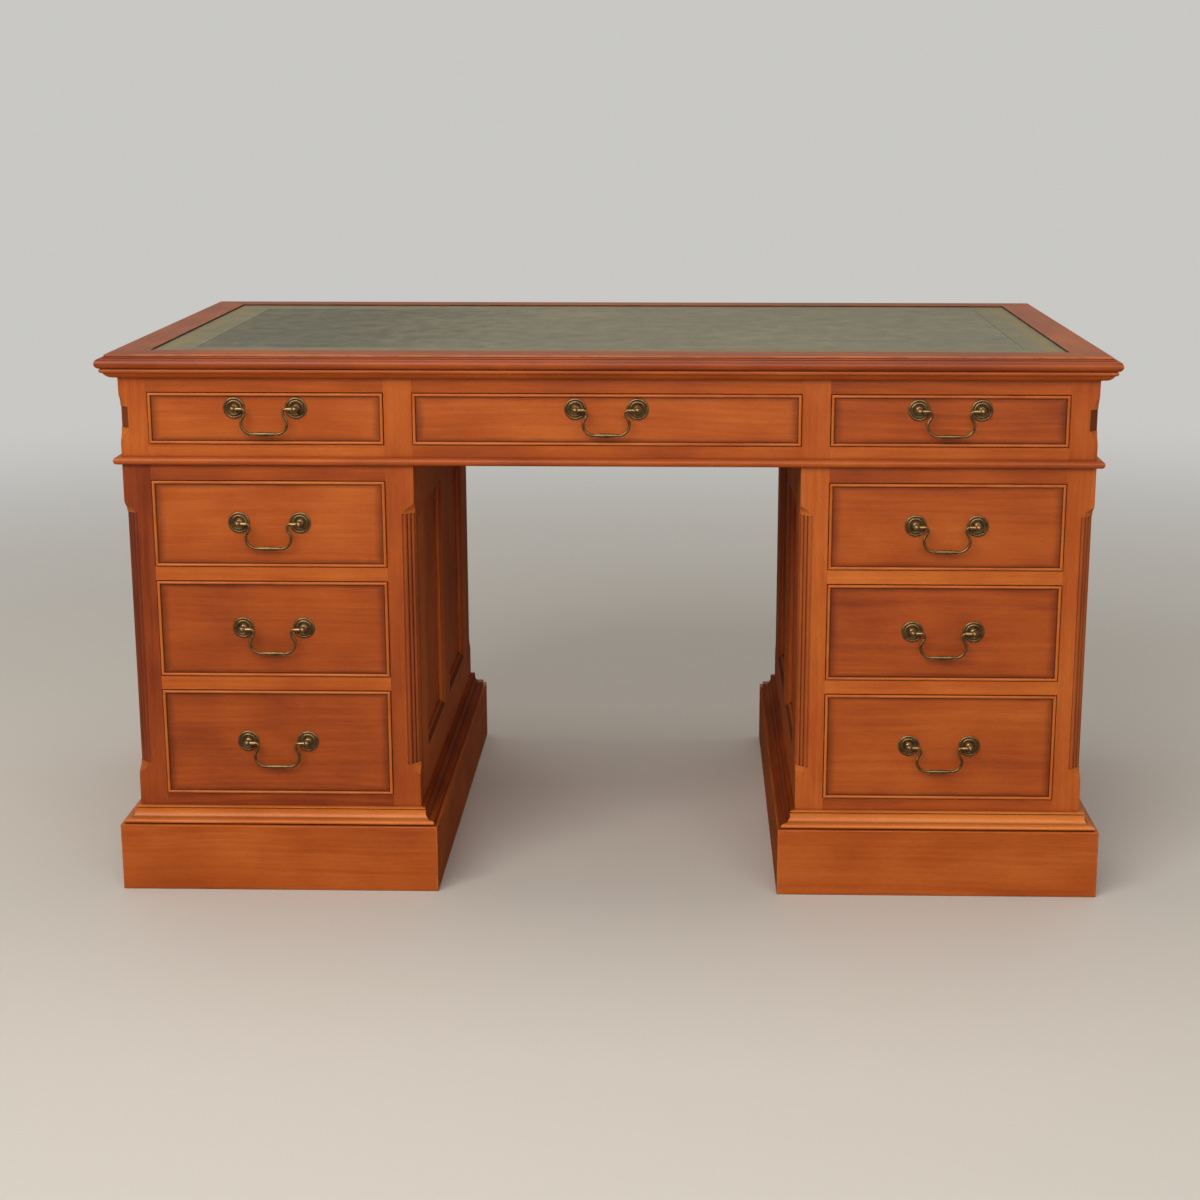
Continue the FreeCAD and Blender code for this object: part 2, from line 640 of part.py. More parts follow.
def make_plinths():
    """Plinth boards planted round a pedestal's foot, capped by a bead, a hollow, a quirk and a fillet."""
    bead_radius = "(plinth_bead_height / 2)"
    bead_tip = "(plinth_projection - plinth_ledge)"
    shoulder = f"({bead_tip} - {bead_radius})"
    fillet_foot = "(plinth_moulding_height - plinth_fillet)"
    fillet_tip, groove = "hollow_head_reach - plinth_quirk", "hollow_head_reach - 2 * plinth_quirk"
    hollow_foot = ("hollow_foot_reach", "plinth_bead_height")
    hollow_head = ("hollow_head_reach", f"{fillet_foot} - plinth_quirk")
    cap_section = section("plinth_section", [
        ("0", "0"),
        (shoulder, "0", bead_radius, -1),
        (bead_tip, bead_radius, bead_radius, -1),
        (shoulder, "plinth_bead_height"),
        (*hollow_foot, f"hollow_bend * {corner_gap(hollow_foot, hollow_head)}", 1),
        hollow_head,
        (groove, hollow_head[1]),
        (groove, fillet_foot),
        (fillet_tip, fillet_foot),
        (fillet_tip, "plinth_moulding_height"),
        ("0", "plinth_moulding_height"),
    ])

    def skirting(name, length):
        return mitred_board(name, length, "plinth_projection", "plinth_height")

    def cap(name, length):
        return mitred_moulding(name, cap_section, length, "plinth_projection", "plinth_moulding_height")

    half = "(pedestal_width / 2)"
    in_both_pedestals("plinth", ring("plinth", skirting, half, FACE_Y, "0"))
    in_both_pedestals("plinth_moulding", ring("plinth_cap", cap, half, FACE_Y, "plinth_height"))


def bead_section():
    """Cockbead: a strip let into the front's edge, standing proud of its face with a round edge."""
    radius = "bead_thickness / 2"
    crest = "bead_let + bead_proud"
    start = f"{crest} - {radius}"
    return section("bead_section", [
        ("0", "0"),
        ("bead_thickness", "0"),
        ("bead_thickness", start, radius, -1),
        (radius, crest, radius, -1),
        ("0", start),
    ])


def drawer_tails(name, width, height):
    """Dovetails on the front ends of both sides, wider at their tips, which lap into the front."""
    outer = f"({width} / 2 - box_inset)"
    inner = f"({outer} - side_thickness)"
    foot, head = "(drawer_gap + bead_thickness)", f"({height} - box_drop)"
    count = max(2, round(value_of(f"({head} - {foot}) / tail_pitch")))
    pitch = f"(({head} - {foot}) / {count})"
    tip = f"({pitch} - pin_width) / 2"
    root = f"{tip} - tail_flare"
    tails = {}
    for hand, (low, high) in (("left", (f"-{outer}", f"-{inner}")), ("right", (inner, outer))):
        tails[hand] = []
        for place in range(count):
            middle = f"({foot} + ({place} + 1 / 2) * {pitch})"
            tail = doc.addObject("Part::Wedge", f"{name}_{hand}_tail")
            bind(tail, Xmin=low, Xmax=high, X2min=low, X2max=high)
            bind(tail, Ymin="front_thickness - tail_length", Ymax="front_thickness")
            bind(tail, Zmin=f"{middle} - ({tip})", Zmax=f"{middle} + ({tip})")
            bind(tail, Z2min=f"{middle} - ({root})", Z2max=f"{middle} + ({root})")
            tails[hand].append(tail)
    return tails


def drawer_front(name, width, height, pivot, profile, tails):
    """Front board, rebated for a mitred cockbead, bored for the handle's bolts and cut for the dovetails.

    A drawer is drawn with its face at y = 0, its middle at x = 0 and z = 0 at the foot of its opening.
    """
    half, field = f"({width} / 2)", f"({width} / 2 - bead_thickness)"
    foot, head = "(drawer_gap + bead_thickness)", f"(drawer_gap + {height} - bead_thickness)"
    blank = fuse(f"{name}_blank", [
        board(f"{name}_field", (f"-{field}", field), ("0", "bead_let"), (foot, head)),
        board(f"{name}_rebated", (f"-{half}", half), ("bead_let", "front_thickness"),
              (f"{foot} - bead_thickness", f"{head} + bead_thickness")),
    ])
    cutters = tails["left"] + tails["right"]
    for place in ("-handle_pitch / 2", "handle_pitch / 2"):
        bore = doc.addObject("Part::Cylinder", f"{name}_bore")
        bind(bore, Radius="bolt_diameter / 2 + bolt_clearance", Height="front_thickness")
        cutters.append(put(bore, place, "front_thickness", pivot, FORWARDS))
    pieces = [cut(f"{name}_board", blank, group(f"{name}_cutters", cutters))]
    depth = "bead_let + bead_proud"
    level = mitred_moulding(f"{name}_bead_level", profile, f"2 * {field}", "bead_thickness", depth)
    upright = mitred_moulding(f"{name}_bead_upright", profile, f"({head} - {foot})", "bead_thickness", depth)
    middle = f"({head} + {foot}) / 2"
    spots = ((level, 0, "0", head), (level, 180, "0", foot),
             (upright, 90, field, middle), (upright, -90, f"-{field}", middle))
    for index, (strip, angle, x, z) in enumerate(spots):
        turn = FreeCAD.Rotation(ACROSS, angle).multiply(FORWARDS)
        pieces.append(group(f"{name}_bead_{index}", [strip], x, "bead_let", z, turn))
    return pieces


def drawer_box(name, width, height, tails):
    """Two dovetailed sides, a back and a bottom behind a drawer front."""
    outer, foot = f"({width} / 2 - box_inset)", "running_clearance"
    inner, head = f"({outer} - side_thickness)", f"{height} - box_drop"
    bottom_foot = f"({foot} + bottom_rise)"
    bottom_head = f"({bottom_foot} + bottom_thickness)"
    length, inside_x = ("front_thickness", DRAWER_LENGTH), (f"-{inner}", inner)
    back_y = (f"{DRAWER_LENGTH} - back_thickness", DRAWER_LENGTH)
    left = board(f"{name}_left_plank", (f"-{outer}", f"-{inner}"), length, (foot, head))
    right = board(f"{name}_right_plank", (inner, outer), length, (foot, head))
    return [
        fuse(f"{name}_left_side", [left, *tails["left"]]),
        fuse(f"{name}_right_side", [right, *tails["right"]]),
        board(f"{name}_bottom", inside_x, length, (bottom_foot, bottom_head)),
        board(f"{name}_back", inside_x, back_y, (bottom_head, head)),
    ]


def make_rosette():
    """Round backplate with two raised rings and a dished middle, pierced for the bolt."""
    rim, edge, hole = "rosette_diameter / 2", "rosette_edge", "bolt_diameter / 2 + bolt_clearance"
    between = (f"{rim} - rosette_ring", f"{edge} + rosette_step")
    inside = (f"{rim} - 2 * rosette_ring", f"{edge} + 2 * rosette_step")
    bend = f"ring_bend * {corner_gap((rim, edge), between)}"
    return turned("rosette", [
        (hole, "0"),
        (rim, "0"),
        (rim, edge, bend, -1),
        (*between, bend, -1),
        inside,
        ("rosette_dish_diameter / 2", "rosette_dish_height"),
        (hole, "rosette_dish_height"),
    ])


def make_pommel():
    """Turned post with a ball head, blind-bored on one side for the bail's pin, on a bolt."""
    shank, neck, ball = "bolt_diameter / 2", "neck_diameter / 2", "pommel_diameter / 2"
    seat, shoulder = "rosette_dish_height", "rosette_dish_height + collar_height"
    tail = "-(front_thickness + bolt_tail)"
    ball_start = f"pommel_reach - sqrt(({ball})^2 - ({neck})^2)"
    post = turned("pommel_blank", [
        ("0", tail),
        (shank, tail),
        (shank, seat),
        ("collar_diameter / 2", seat),
        ("collar_diameter / 2", shoulder),
        (neck, f"{shoulder} + collar_height / 2"),
        (neck, ball_start, ball, -1),
        ("0", f"pommel_reach + {ball}"),
    ])
    bore = doc.addObject("Part::Cylinder", "pin_bore")
    bind(bore, Radius="wire_diameter / 2 + pin_clearance", Height="pommel_diameter")
    put(bore, y="pommel_reach", turn=FreeCAD.Rotation(ACROSS, 90))
    return cut("pommel", post, bore)


def make_nut():
    blank = doc.addObject("Part::Prism", "nut_blank")
    blank.Polygon = 6
    bind(blank, Circumradius="nut_radius", Height="nut_thickness")
    hole = doc.addObject("Part::Cylinder", "nut_hole")
    bind(hole, Radius="bolt_diameter / 2 + bolt_clearance", Height="nut_thickness")
    return cut("nut", blank, hole)


def make_bail():
    """Swan-neck bail: round wire on one line of runs and tangent arcs, with a swelled grip.

    The pivot line lies along X through the origin, and the bail hangs below it.
    """
    half = "handle_pitch / 2"
    body = doc.addObject("PartDesign::Body", "bail")
    pin, hook = f"({half} - pin_end_gap)", f"({half} - hook_reach)"
    neck, turn_radius = f"({half} - neck_reach)", "(bail_drop - neck_drop)"
    shoulder, grip = f"({hook} + hook_radius)", f"({neck} - {turn_radius})"
    sway_x, sway_z = "(hook_reach - neck_reach)", "(neck_drop - hook_radius)"
    sway = f"({sway_x}^2 + {sway_z}^2) / (4 * {sway_x})"
    middle_x, middle_z = f"({hook} + {neck}) / 2", "(hook_radius + neck_drop) / 2"
    swell = "((grip_diameter - wire_diameter) / 2)"
    bulge = f"({grip}^2 + {swell}^2) / (2 * {swell})"
    rim = "-bail_drop - wire_diameter / 2"
    profile = draw(sketch_on(body, "XZ_Plane", "grip_section"), [
        (grip, "-bail_drop"),
        (f"-{grip}", "-bail_drop"),
        (f"-{grip}", rim, bulge, -1),
        (grip, rim),
    ])
    barrel = body.newObject("PartDesign::Revolution", "bail_grip")
    barrel.Profile = profile
    barrel.ReferenceAxis = (profile, ["Edge1"])
    barrel.Angle = 360
    path = draw(sketch_on(body, "XZ_Plane", "arm_path"), [
        (pin, "0"),
        (shoulder, "0", "hook_radius", -1),
        (hook, "-hook_radius", sway, -1),
        (middle_x, f"-{middle_z}", sway, 1),
        (neck, "-neck_drop", turn_radius, 1),
        (grip, "-bail_drop"),
    ], closed=False)
    wire = sketch_on(body, "YZ_Plane", "arm_wire")
    wire.setExpression("AttachmentOffset.Base.z", linked(pin))
    circle = wire.addGeometry(Part.Circle(FreeCAD.Vector(), VERTICAL, value_of("wire_diameter / 2")))
    wire.addConstraint(Sketcher.Constraint("Coincident", circle, 3, -1, 1))
    spot = wire.addConstraint(Sketcher.Constraint("Diameter", circle, value_of("wire_diameter")))
    wire.setExpression(f"Constraints[{spot}]", linked("wire_diameter"))
    arm = body.newObject("PartDesign::AdditivePipe", "bail_arm")
    arm.Profile = wire
    arm.Spine = (path, [])
    arms = body.newObject("PartDesign::Mirrored", "bail_arms")
    arms.Originals = [arm]
    arms.MirrorPlane = (path, ["V_Axis"])
    body.Tip = arms
    return body


def make_drawers():
    """Nine drawers, each with its front, box, handle mounts and bail."""
    profile = bead_section()
    side_width = f"(2 * ({OPENING_HALF} - drawer_gap))"
    centre_width = f"(2 * ({KNEE_X} - drawer_gap))"
    frieze_pivot = "(drawer_gap + frieze_drawer_height - frieze_handle_drop)"
    sides = {"left": f"-{PEDESTAL_X}", "right": PEDESTAL_X}
    kinds = [
        ("frieze_drawer", side_width, "frieze_drawer_height", frieze_pivot, FRIEZE_FOOT, sides),
        ("frieze_drawer", centre_width, "frieze_drawer_height", frieze_pivot, FRIEZE_FOOT, {"centre": "0"}),
    ]
    for name, (foot, _) in pedestal_openings().items():
        height = DRAWER_HEIGHTS[name]
        pivot = f"(drawer_gap + {height} / 2 + handle_lift)"
        kinds.append((f"{name}_drawer", side_width, height, pivot, foot, sides))

    rosette, pommel, nut, bail = make_rosette(), make_pommel(), make_nut(), make_bail()
    mounts = []
    for hand, place, angle in (("left", "-handle_pitch / 2", 0), ("right", "handle_pitch / 2", 180)):
        turn = FreeCAD.Rotation(ACROSS, angle)
        mounts.append(group(f"{hand}_rosette", [rosette], place))
        mounts.append(group(f"{hand}_pommel", [pommel], place, turn=turn))
        mounts.append(group(f"{hand}_nut", [nut], place, "-front_thickness", turn=FORWARDS))
    hung_bail = group("hung_bail", [bail], y="pommel_reach")

    outwards = FreeCAD.Rotation(VERTICAL, 180)
    for kind, width, height, pivot, foot, places in kinds:
        master = f"{'_'.join(places)}_{kind}"
        tails = drawer_tails(master, width, height)
        front = drawer_front(master, width, height, pivot, profile, tails)
        box = drawer_box(master, width, height, tails)
        for hand, x in places.items():
            drawer = f"{hand}_{kind}"
            node(f"{drawer}_front", front, x, f"-{FACE_Y}", foot)
            node(f"{drawer}_box", box, x, f"-{FACE_Y}", foot)
            node(f"{drawer}_rosettes", mounts, x, f"-{FACE_Y}", f"{foot} + {pivot}", outwards)
            node(f"{drawer}_bail", [hung_bail], x, f"-{FACE_Y}", f"{foot} + {pivot}", outwards)


make_top()
make_frieze_mouldings()
make_frieze()
make_pedestal_posts()
make_pedestal_sides()
make_pedestal_front()
make_plinths()
make_drawers()
doc.recompute()

for thing in doc.Objects:
    if "Invalid" in thing.State or "Error" in thing.State:
        raise RuntimeError(f"{thing.Label} failed: {thing.State}")
for thing in nodes:
    if thing.Shape.isNull() or not thing.Shape.isValid():
        raise RuntimeError(f"{thing.Label} has no valid shape")

os.makedirs("parts", exist_ok=True)
for thing in nodes:
    thing.Shape.exportStep(f"parts/{thing.Label}.step")
print(f"{len(nodes)} nodes, {sum(len(thing.Shape.Solids) for thing in nodes)} solids")
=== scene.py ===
import json
import math
import random
from collections import namedtuple

import bmesh
import bpy
import numpy as np
from mathutils import Matrix, Vector


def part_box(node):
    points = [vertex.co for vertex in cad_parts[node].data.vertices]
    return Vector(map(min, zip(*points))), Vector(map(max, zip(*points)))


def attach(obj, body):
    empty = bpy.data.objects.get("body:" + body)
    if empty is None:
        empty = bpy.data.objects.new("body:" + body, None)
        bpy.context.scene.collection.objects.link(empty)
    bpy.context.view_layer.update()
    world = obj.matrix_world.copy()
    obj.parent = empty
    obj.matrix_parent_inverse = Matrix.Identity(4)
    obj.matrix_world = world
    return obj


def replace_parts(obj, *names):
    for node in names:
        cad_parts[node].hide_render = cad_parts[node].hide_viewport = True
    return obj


# Pedestal desk in satin red-brown wood with a leather top and antiqued brass handles.
# Metres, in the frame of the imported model: drawers face -Y and +Z is up.

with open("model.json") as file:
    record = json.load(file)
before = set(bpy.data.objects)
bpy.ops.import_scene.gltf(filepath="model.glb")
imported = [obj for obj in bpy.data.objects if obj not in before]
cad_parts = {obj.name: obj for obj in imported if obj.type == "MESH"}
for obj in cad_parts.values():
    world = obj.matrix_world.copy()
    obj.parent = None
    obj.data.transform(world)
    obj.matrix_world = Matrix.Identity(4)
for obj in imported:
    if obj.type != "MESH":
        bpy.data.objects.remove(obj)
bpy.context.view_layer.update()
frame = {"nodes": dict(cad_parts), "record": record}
dice = random.Random(11)

# Camera, solved from the photograph's 1200 x 1200 frame
FRAME_PIXELS = 1200
FOCAL_PIXELS = 2134.2
SENSOR = 36.0
CAMERA_PLACE = Vector((0.1073, -3.2298, 1.1074))
CAMERA_PITCH = 0.2372
CAMERA_YAW = 0.0253
CAMERA_OFF_CENTRE = (32.0, 6.4)

# How far edges are rounded: least where boards lie flush, most on the plinths
MICRON = 1e-6
FLAT_ANGLE = math.radians(1)
SHARP_ANGLE = math.radians(32)
FLUSH_EDGE = 0.0003
EASED_EDGE = 0.0006
PLINTH_EDGE = 0.001
LEATHER_EDGE = 0.0004
EDGE_STEPS = 2
EDGE_PROFILE = 0.5
FLUSH = ("posts", "frames", "rails", "boards", "frieze_front")

# Nodes of plain lining wood, by the ends of their names
LINED = ("runners", "dustboards", "drawer_guides", "box")

# Faces darkened with painted shade, and on sunk cants with dark glaze too, or rubbed pale by wear with a
# painted highlight, told apart by their slope and place
HANDLED = ("plinth", "moulding", "mouldings", "top_border")
UPRIGHT = 0.02
SQUARE_ON = 0.95
CANT_INSET = 0.0005
TOP_ROUND = 0.0026
HOLLOW_FOOT = (0.0067, 0.0085)
FRIEZE_CANT_GLAZE_AND_SHADE = 1.0
REED_GLAZE_AND_SHADE = 0.4
SPLAY_PAINTED_SHADE = 0.6
LEDGE_PAINTED_SHADE = 1.2
HOLLOW_FOOT_PAINTED_SHADE = 0.7
BORDER_WALL_SHADOW = 1.0

# Dovetail sockets, opened through the ends of the drawer fronts
TAIL_REACH = 1.3
END_SKIN = 0.0015
SOCKET_LIP = 0.0001
SAME_PLANE = 0.0003
PLACE_DIGITS = 5

# Drawer fields: a painted shadow line beside the bead, then a soft band of darker glaze that reaches further
# in at the two ends
BEAD_LIMIT = 0.006
BEAD = 0.004
FIELD_SHADOW_LINE = 0.0009
FIELD_SHADE = 0.75
SHADE_REACH_ENDS = 0.013
SHADE_REACH_SIDES = 0.007
SHADE_CLOUDING = 0.6
SHADE_SPAN = (0.8, -0.4)

# How much lighter or darker than the rest some boards are: one value for a whole node, or one for each board.
# The darkest, on the left pedestal's outer post and its upper and foot rails, are partly painted shade.
SIDE_FRAME_TONES = (0.0,) * 5
BACK_FRAME_TONES = (0.0,) * 4
TONES_AND_SHADE = {
    "left_upper_drawer_front": (0.08,),
    "left_middle_drawer_front": (-0.10,),
    "left_lower_drawer_front": (-0.06,),
    "right_upper_drawer_front": (0.04,),
    "right_middle_drawer_front": (-0.02,),
    "right_frieze_drawer_front": (-0.04,),
    "frieze_drawer_front": (0.06,),
    "left_pedestal_drawer_rails": (-0.16, 0.12, 0.12, -0.26),
    "right_pedestal_drawer_rails": (-0.08, 0.20, 0.14, -0.12),
    "left_pedestal_posts": (-0.30, -0.08, -0.10, -0.10),
    "right_pedestal_posts": (0.05, 0.0, -0.10, -0.10),
    "frieze_posts": (0.06, -0.07, 0.0, 0.0),
    "frieze_front": (0.08, 0.12, -0.04, 0.14, -0.04, -0.05, -0.04, 0.08),
    "top_border": (-0.24, -0.19, -0.12, -0.19),
    "left_pedestal_frames": (*SIDE_FRAME_TONES, 0.05, 0.05, 0.12, 0.05, 0.05, *BACK_FRAME_TONES),
    "left_plinth_moulding": (0.05, 0.26, -0.25, 0.10),
    "right_plinth_moulding": (0.05, 0.45, 0.10, -0.25),
    "left_plinth": (0.0, -0.03, -0.06, 0.0),
    "right_plinth": (0.0, 0.08, 0.0, -0.06),
}
NO_TONE = (0.0,)
BEAD_TONE = 0.12
TONE_SPREAD = 0.03

# Noise: its scale per metre on each axis, the first along a board's grain, then its detail and roughness
Pattern = namedtuple("Pattern", "scale detail roughness", defaults=(0.5,))
SWAY = Pattern((2.2, 7.0, 7.0), 2.0)
STREAKS = Pattern((8.0, 420.0, 420.0), 5.0, 0.62)
CLOUDS = Pattern((7.0, 13.0, 13.0), 4.0)
FLECKS = Pattern((45.0, 700.0, 700.0), 2.0)
PORES = Pattern((95.0, 2300.0, 2300.0), 1.0)
WEAR_PATCHES = Pattern((30.0, 60.0, 60.0), 3.0)
FIELD_CLOUDS = Pattern((22.0, 22.0, 22.0), 2.0)
BRASS_CLOUDS = Pattern((160.0, 160.0, 160.0), 3.0)
LEATHER_CLOUDS = Pattern((6.0, 9.0, 6.0), 4.0)
MOTTLE = Pattern((34.0, 26.0, 34.0), 5.0, 0.65)
FINE_MOTTLE = Pattern((420.0, 420.0, 420.0), 3.0)
GILT_WEAR = Pattern((14.0, 40.0, 14.0), 4.0)
NOISE_MIDDLE = (0.3, 0.7)
SEED_SHIFTS = {"X": 41.0, "Y": 17.0, "Z": 29.0}

# Wood
PITH_SIDE = 0.06
PITH_DEPTH = 0.05
SWAY_REACH = 0.05
RINGS_PER_METRE = 150.0
RING_SHIFT = 60.0
RING_DETAIL = 3.0
RING_SHARE = 0.22
STREAK_SHARE = 0.2
FLECK_SHARE = 0.14
CLOUD_SHARE = 0.59
FIGURE_STOPS = (0.08, 0.32, 0.58, 0.84, 1.0)
PORE_BOUNDS = (0.6, 0.74)
PORE_STAIN = 0.3
PORE_HEIGHT = -0.6
FIELD_EDGE_SHADOW_AND_GLAZE = 0.75
SUNK_GLAZE_AND_SHADE = 0.62
SUNK_DULLNESS = 0.3
CORNER_PAINTED_SHADE = 0.85
CORNER_REACH = 0.006
CORNER_OPENNESS = (0.75, 0.25)
CORNER_SAMPLES = 6
# Pale rubbed edges: wear, with a painted highlight along rounded arrises too
WEAR_WIDTH = 0.0022
WORN_THROUGH = 0.2
WEAR_BOUNDS = (0.38, 0.58)
LEAST_RUBBED = 0.5
WEAR_AND_HIGHLIGHT_SHARE = 0.5
GLOSS_SPREAD = (-0.05, 0.07)
SHOW_ROUGHNESS = 0.38
LINING_ROUGHNESS = 0.62
WOOD_SPECULAR = 0.4
WOOD_BUMP = {"Strength": 0.12, "Distance": 0.0004}

# Brass
BRASS_STOPS = (0.15, 0.45, 0.85)
BRASS_HOLLOW = 0.003
BRASS_HOLLOW_STAIN = 0.8
BRASS_RIDGES = (0.49, 0.56)
BRASS_RUB_AND_HIGHLIGHT_SHARE = 0.45
BRASS_CLOUD_SHARE = 0.55
BRASS_GLOSS = (0.26, 0.42)
BRASS_METALLIC = 0.8
BRASS_BUMP = {"Strength": 0.1, "Distance": 0.0003}

# Leather
STRIP_WIDTH = 0.053
SEAM = 0.0007
# The skin darkens towards its left end
LEFT_DARKENING_REACH = (-0.34, 0.0)
LEFT_DARKENING_TONES = (-0.11, 0.05)
LEFT_DARKENING_MOTTLE = 0.16
LEATHER_CLOUD_SHARE = 0.35
MOTTLE_SHARE = 0.45
FINE_SHARE = 0.2
LEATHER_STOPS = (0.3, 0.5, 0.7)
PEBBLES_PER_METRE = 900.0
PEBBLE_EDGE = 0.25
LEATHER_CLOUD_BOUNDS = (0.25, 0.75)
LEATHER_GLOSS = (0.36, 0.5)
LEATHER_SPECULAR = 0.45
LEATHER_BUMP = {"Strength": 0.22, "Distance": 0.0003}

# Gold tooling, by the distance in from a strip's outer edge: middle and width of each fillet, then lozenges
FILLETS = ((0.009, 0.0011), (0.0245, 0.0011), (0.0275, 0.0005))
FILLET_SOFTNESS = 0.0003
LOZENGE_MIDDLE = 0.0168
LOZENGE_STEP = 0.006
LOZENGE_SLOPE = 0.9
LOZENGE_RIM = (0.0046, 0.0042)
LOZENGE_HOLE = (0.0022, 0.0026)
HAZE_START = (0.006, 0.011)
HAZE_END = (0.028, 0.023)
HAZE = 0.35
# A painted shadow along a strip's outer edge, where the leather lies below the wood border
RECESS_SHADOW_REACH = (0.004, 0.0005)
RECESS_SHADOW_SHARE = 0.7
GILT_BOUNDS = (0.3, 0.55)
GILT_SHARE = 0.8
GILT_METALLIC = 0.6
GILT_HEIGHT = -1.5

# Light: colours of the backdrop and of what the polish mirrors, then the lamps
BACKGROUND = (0.58, 0.575, 0.555, 1)
MIRRORED_BACKDROP = (0.42, 0.39, 0.31, 1)
MIRRORED_DUSK = (0.13, 0.12, 0.10, 1)
MIRRORED_FLOOR = (0.05, 0.035, 0.02, 1)
BACKDROP_START = (0.3, 0.8)
AMBIENT = (0.30, 0.29, 0.28, 1)
FLOOR_COLOUR = (0.66, 0.63, 0.58, 1)
FLOOR_ROUGHNESS = 0.7
FLOOR_SIZE = 60.0
FLOOR_FADE = (1.0, 4.5)
Lamp = namedtuple("Lamp", "place target size power tint")
LAMPS = {
    "key": Lamp((-1.7, -3.4, 3.0), (0, 0, 0.45), (3.2, 2.2), 112, (1.0, 0.96, 0.9)),
    "fill": Lamp((1.1, -3.6, 2.2), (0, 0, 0.4), (2.4, 2.0), 40, (1.0, 0.97, 0.93)),
    "top": Lamp((0, 0.6, 3.6), (0, 0, 0.7), (3.0, 2.0), 30, (1.0, 0.96, 0.88)),
}


def colour(red, green, blue):
    """A screen colour, 0 to 255, as the linear colour that shaders take."""
    linear = [c / 255 / 12.92 if c <= 10 else ((c / 255 + 0.055) / 1.055) ** 2.4 for c in (red, green, blue)]
    return (*linear, 1)


def colours(*shades):
    return [colour(*shade) for shade in shades]


def new_object(name, data):
    """An object in the scene."""
    made = bpy.data.objects.new(name, data)
    bpy.context.scene.collection.objects.link(made)
    return made


def new_material(name):
    material = bpy.data.materials.new(name)
    material.use_nodes = True
    tree = material.node_tree
    return material, tree, tree.nodes["Principled BSDF"]


def feed(tree, node, sockets):
    """Set sockets to values, or join them to other nodes' outputs."""
    for name, value in sockets.items():
        if isinstance(value, bpy.types.NodeSocket):
            tree.links.new(value, node.inputs[name])
        else:
            node.inputs[name].default_value = value


def add(tree, kind, sockets=None, **settings):
    made = tree.nodes.new(f"ShaderNode{kind}")
    for name, value in settings.items():
        setattr(made, name, value)
    feed(tree, made, sockets or {})
    return made


def sum_up(tree, operation, *values):
    """A Math node's output."""
    return add(tree, "Math", dict(enumerate(values)), operation=operation).outputs[0]


def fade(tree, value, start, end, low=0.0, high=1.0):
    """A value carried from start..end to low..high, and held there outside."""
    sockets = {"Value": value, "From Min": start, "From Max": end, "To Min": low, "To Max": high}
    return add(tree, "MapRange", sockets, interpolation_type="SMOOTHSTEP").outputs["Result"]


def mix(tree, factor, first, second):
    """The first colour, turned into the second by a factor."""
    made = add(tree, "Mix", data_type="RGBA", blend_type="MIX")
    feed(tree, made, {"Factor": factor, 6: first, 7: second})
    return made.outputs[2]


def mix_toward(tree, shade, factor, share, stain):
    """A shade mixed toward a second colour, by a share of a factor."""
    return mix(tree, sum_up(tree, "MULTIPLY", factor, share), shade, stain)


def ramp(tree, factor, stops, tones):
    """A colour ramp through tones at stops."""
    made = add(tree, "ValToRGB", {"Fac": factor})
    elements = made.color_ramp.elements
    while len(elements) < len(stops):
        elements.new(0.5)
    for element, position, shade in zip(elements, stops, tones):
        element.position = position
        element.color = shade
    return made.outputs["Color"]


def noise(tree, place, pattern):
    stretched = add(tree, "VectorMath", {0: place, 1: pattern.scale}, operation="MULTIPLY").outputs["Vector"]
    sockets = {"Vector": stretched, "Scale": 1.0, "Detail": pattern.detail, "Roughness": pattern.roughness}
    return add(tree, "TexNoise", sockets).outputs["Fac"]


def bump(tree, height, settings):
    return add(tree, "Bump", {"Height": height, **settings}).outputs["Normal"]


def attribute(tree, name, output):
    return add(tree, "Attribute", attribute_name=name).outputs[output]


def parts_of(tree, name):
    """The X, Y and Z of a board's own vector."""
    return add(tree, "SeparateXYZ", {"Vector": attribute(tree, name, "Vector")}).outputs


def own_place(tree):
    """A board's own coordinates, with x along the grain, moved apart from every other board's."""
    seed = attribute(tree, "seed", "Fac")
    moves = {axis: sum_up(tree, "MULTIPLY", seed, step) for axis, step in SEED_SHIFTS.items()}
    shift = add(tree, "CombineXYZ", moves).outputs["Vector"]
    return add(tree, "VectorMath", {0: attribute(tree, "grain", "Vector"), 1: shift}).outputs["Vector"]


def growth_rings(tree, place):
    """Rings round a pith line beside the board, seen as long swaying bands on its faces."""
    sway = noise(tree, place, SWAY)
    board = parts_of(tree, "grain")
    seed = attribute(tree, "seed", "Fac")
    pith = fade(tree, seed, 0.0, 1.0, -PITH_SIDE, PITH_SIDE)
    across = sum_up(tree, "ADD", sum_up(tree, "MULTIPLY_ADD", sway, SWAY_REACH, board["Y"]), pith)
    depth = sum_up(tree, "ADD", board["Z"], PITH_DEPTH)
    squares = [sum_up(tree, "MULTIPLY", side, side) for side in (across, depth)]
    radius = sum_up(tree, "SQRT", sum_up(tree, "ADD", *squares))
    first_ring = sum_up(tree, "MULTIPLY", seed, RING_SHIFT)
    turns = sum_up(tree, "MULTIPLY_ADD", radius, RINGS_PER_METRE, first_ring)
    sockets = {"W": turns, "Scale": 1.0, "Detail": RING_DETAIL}
    return add(tree, "TexNoise", sockets, noise_dimensions="1D").outputs["Fac"]


def crevice(tree, reach):
    """1 in the depth of a corner or hollow, 0 in the open."""
    open_share = add(tree, "AmbientOcclusion", {"Distance": reach}, samples=CORNER_SAMPLES).outputs["AO"]
    return fade(tree, open_share, *CORNER_OPENNESS)


def insets(tree):
    """How far a place lies in from the sides of its board's box, along each axis."""
    board = parts_of(tree, "grain")
    half = parts_of(tree, "half")
    return [sum_up(tree, "SUBTRACT", half[axis], sum_up(tree, "ABSOLUTE", board[axis])) for axis in "XYZ"]


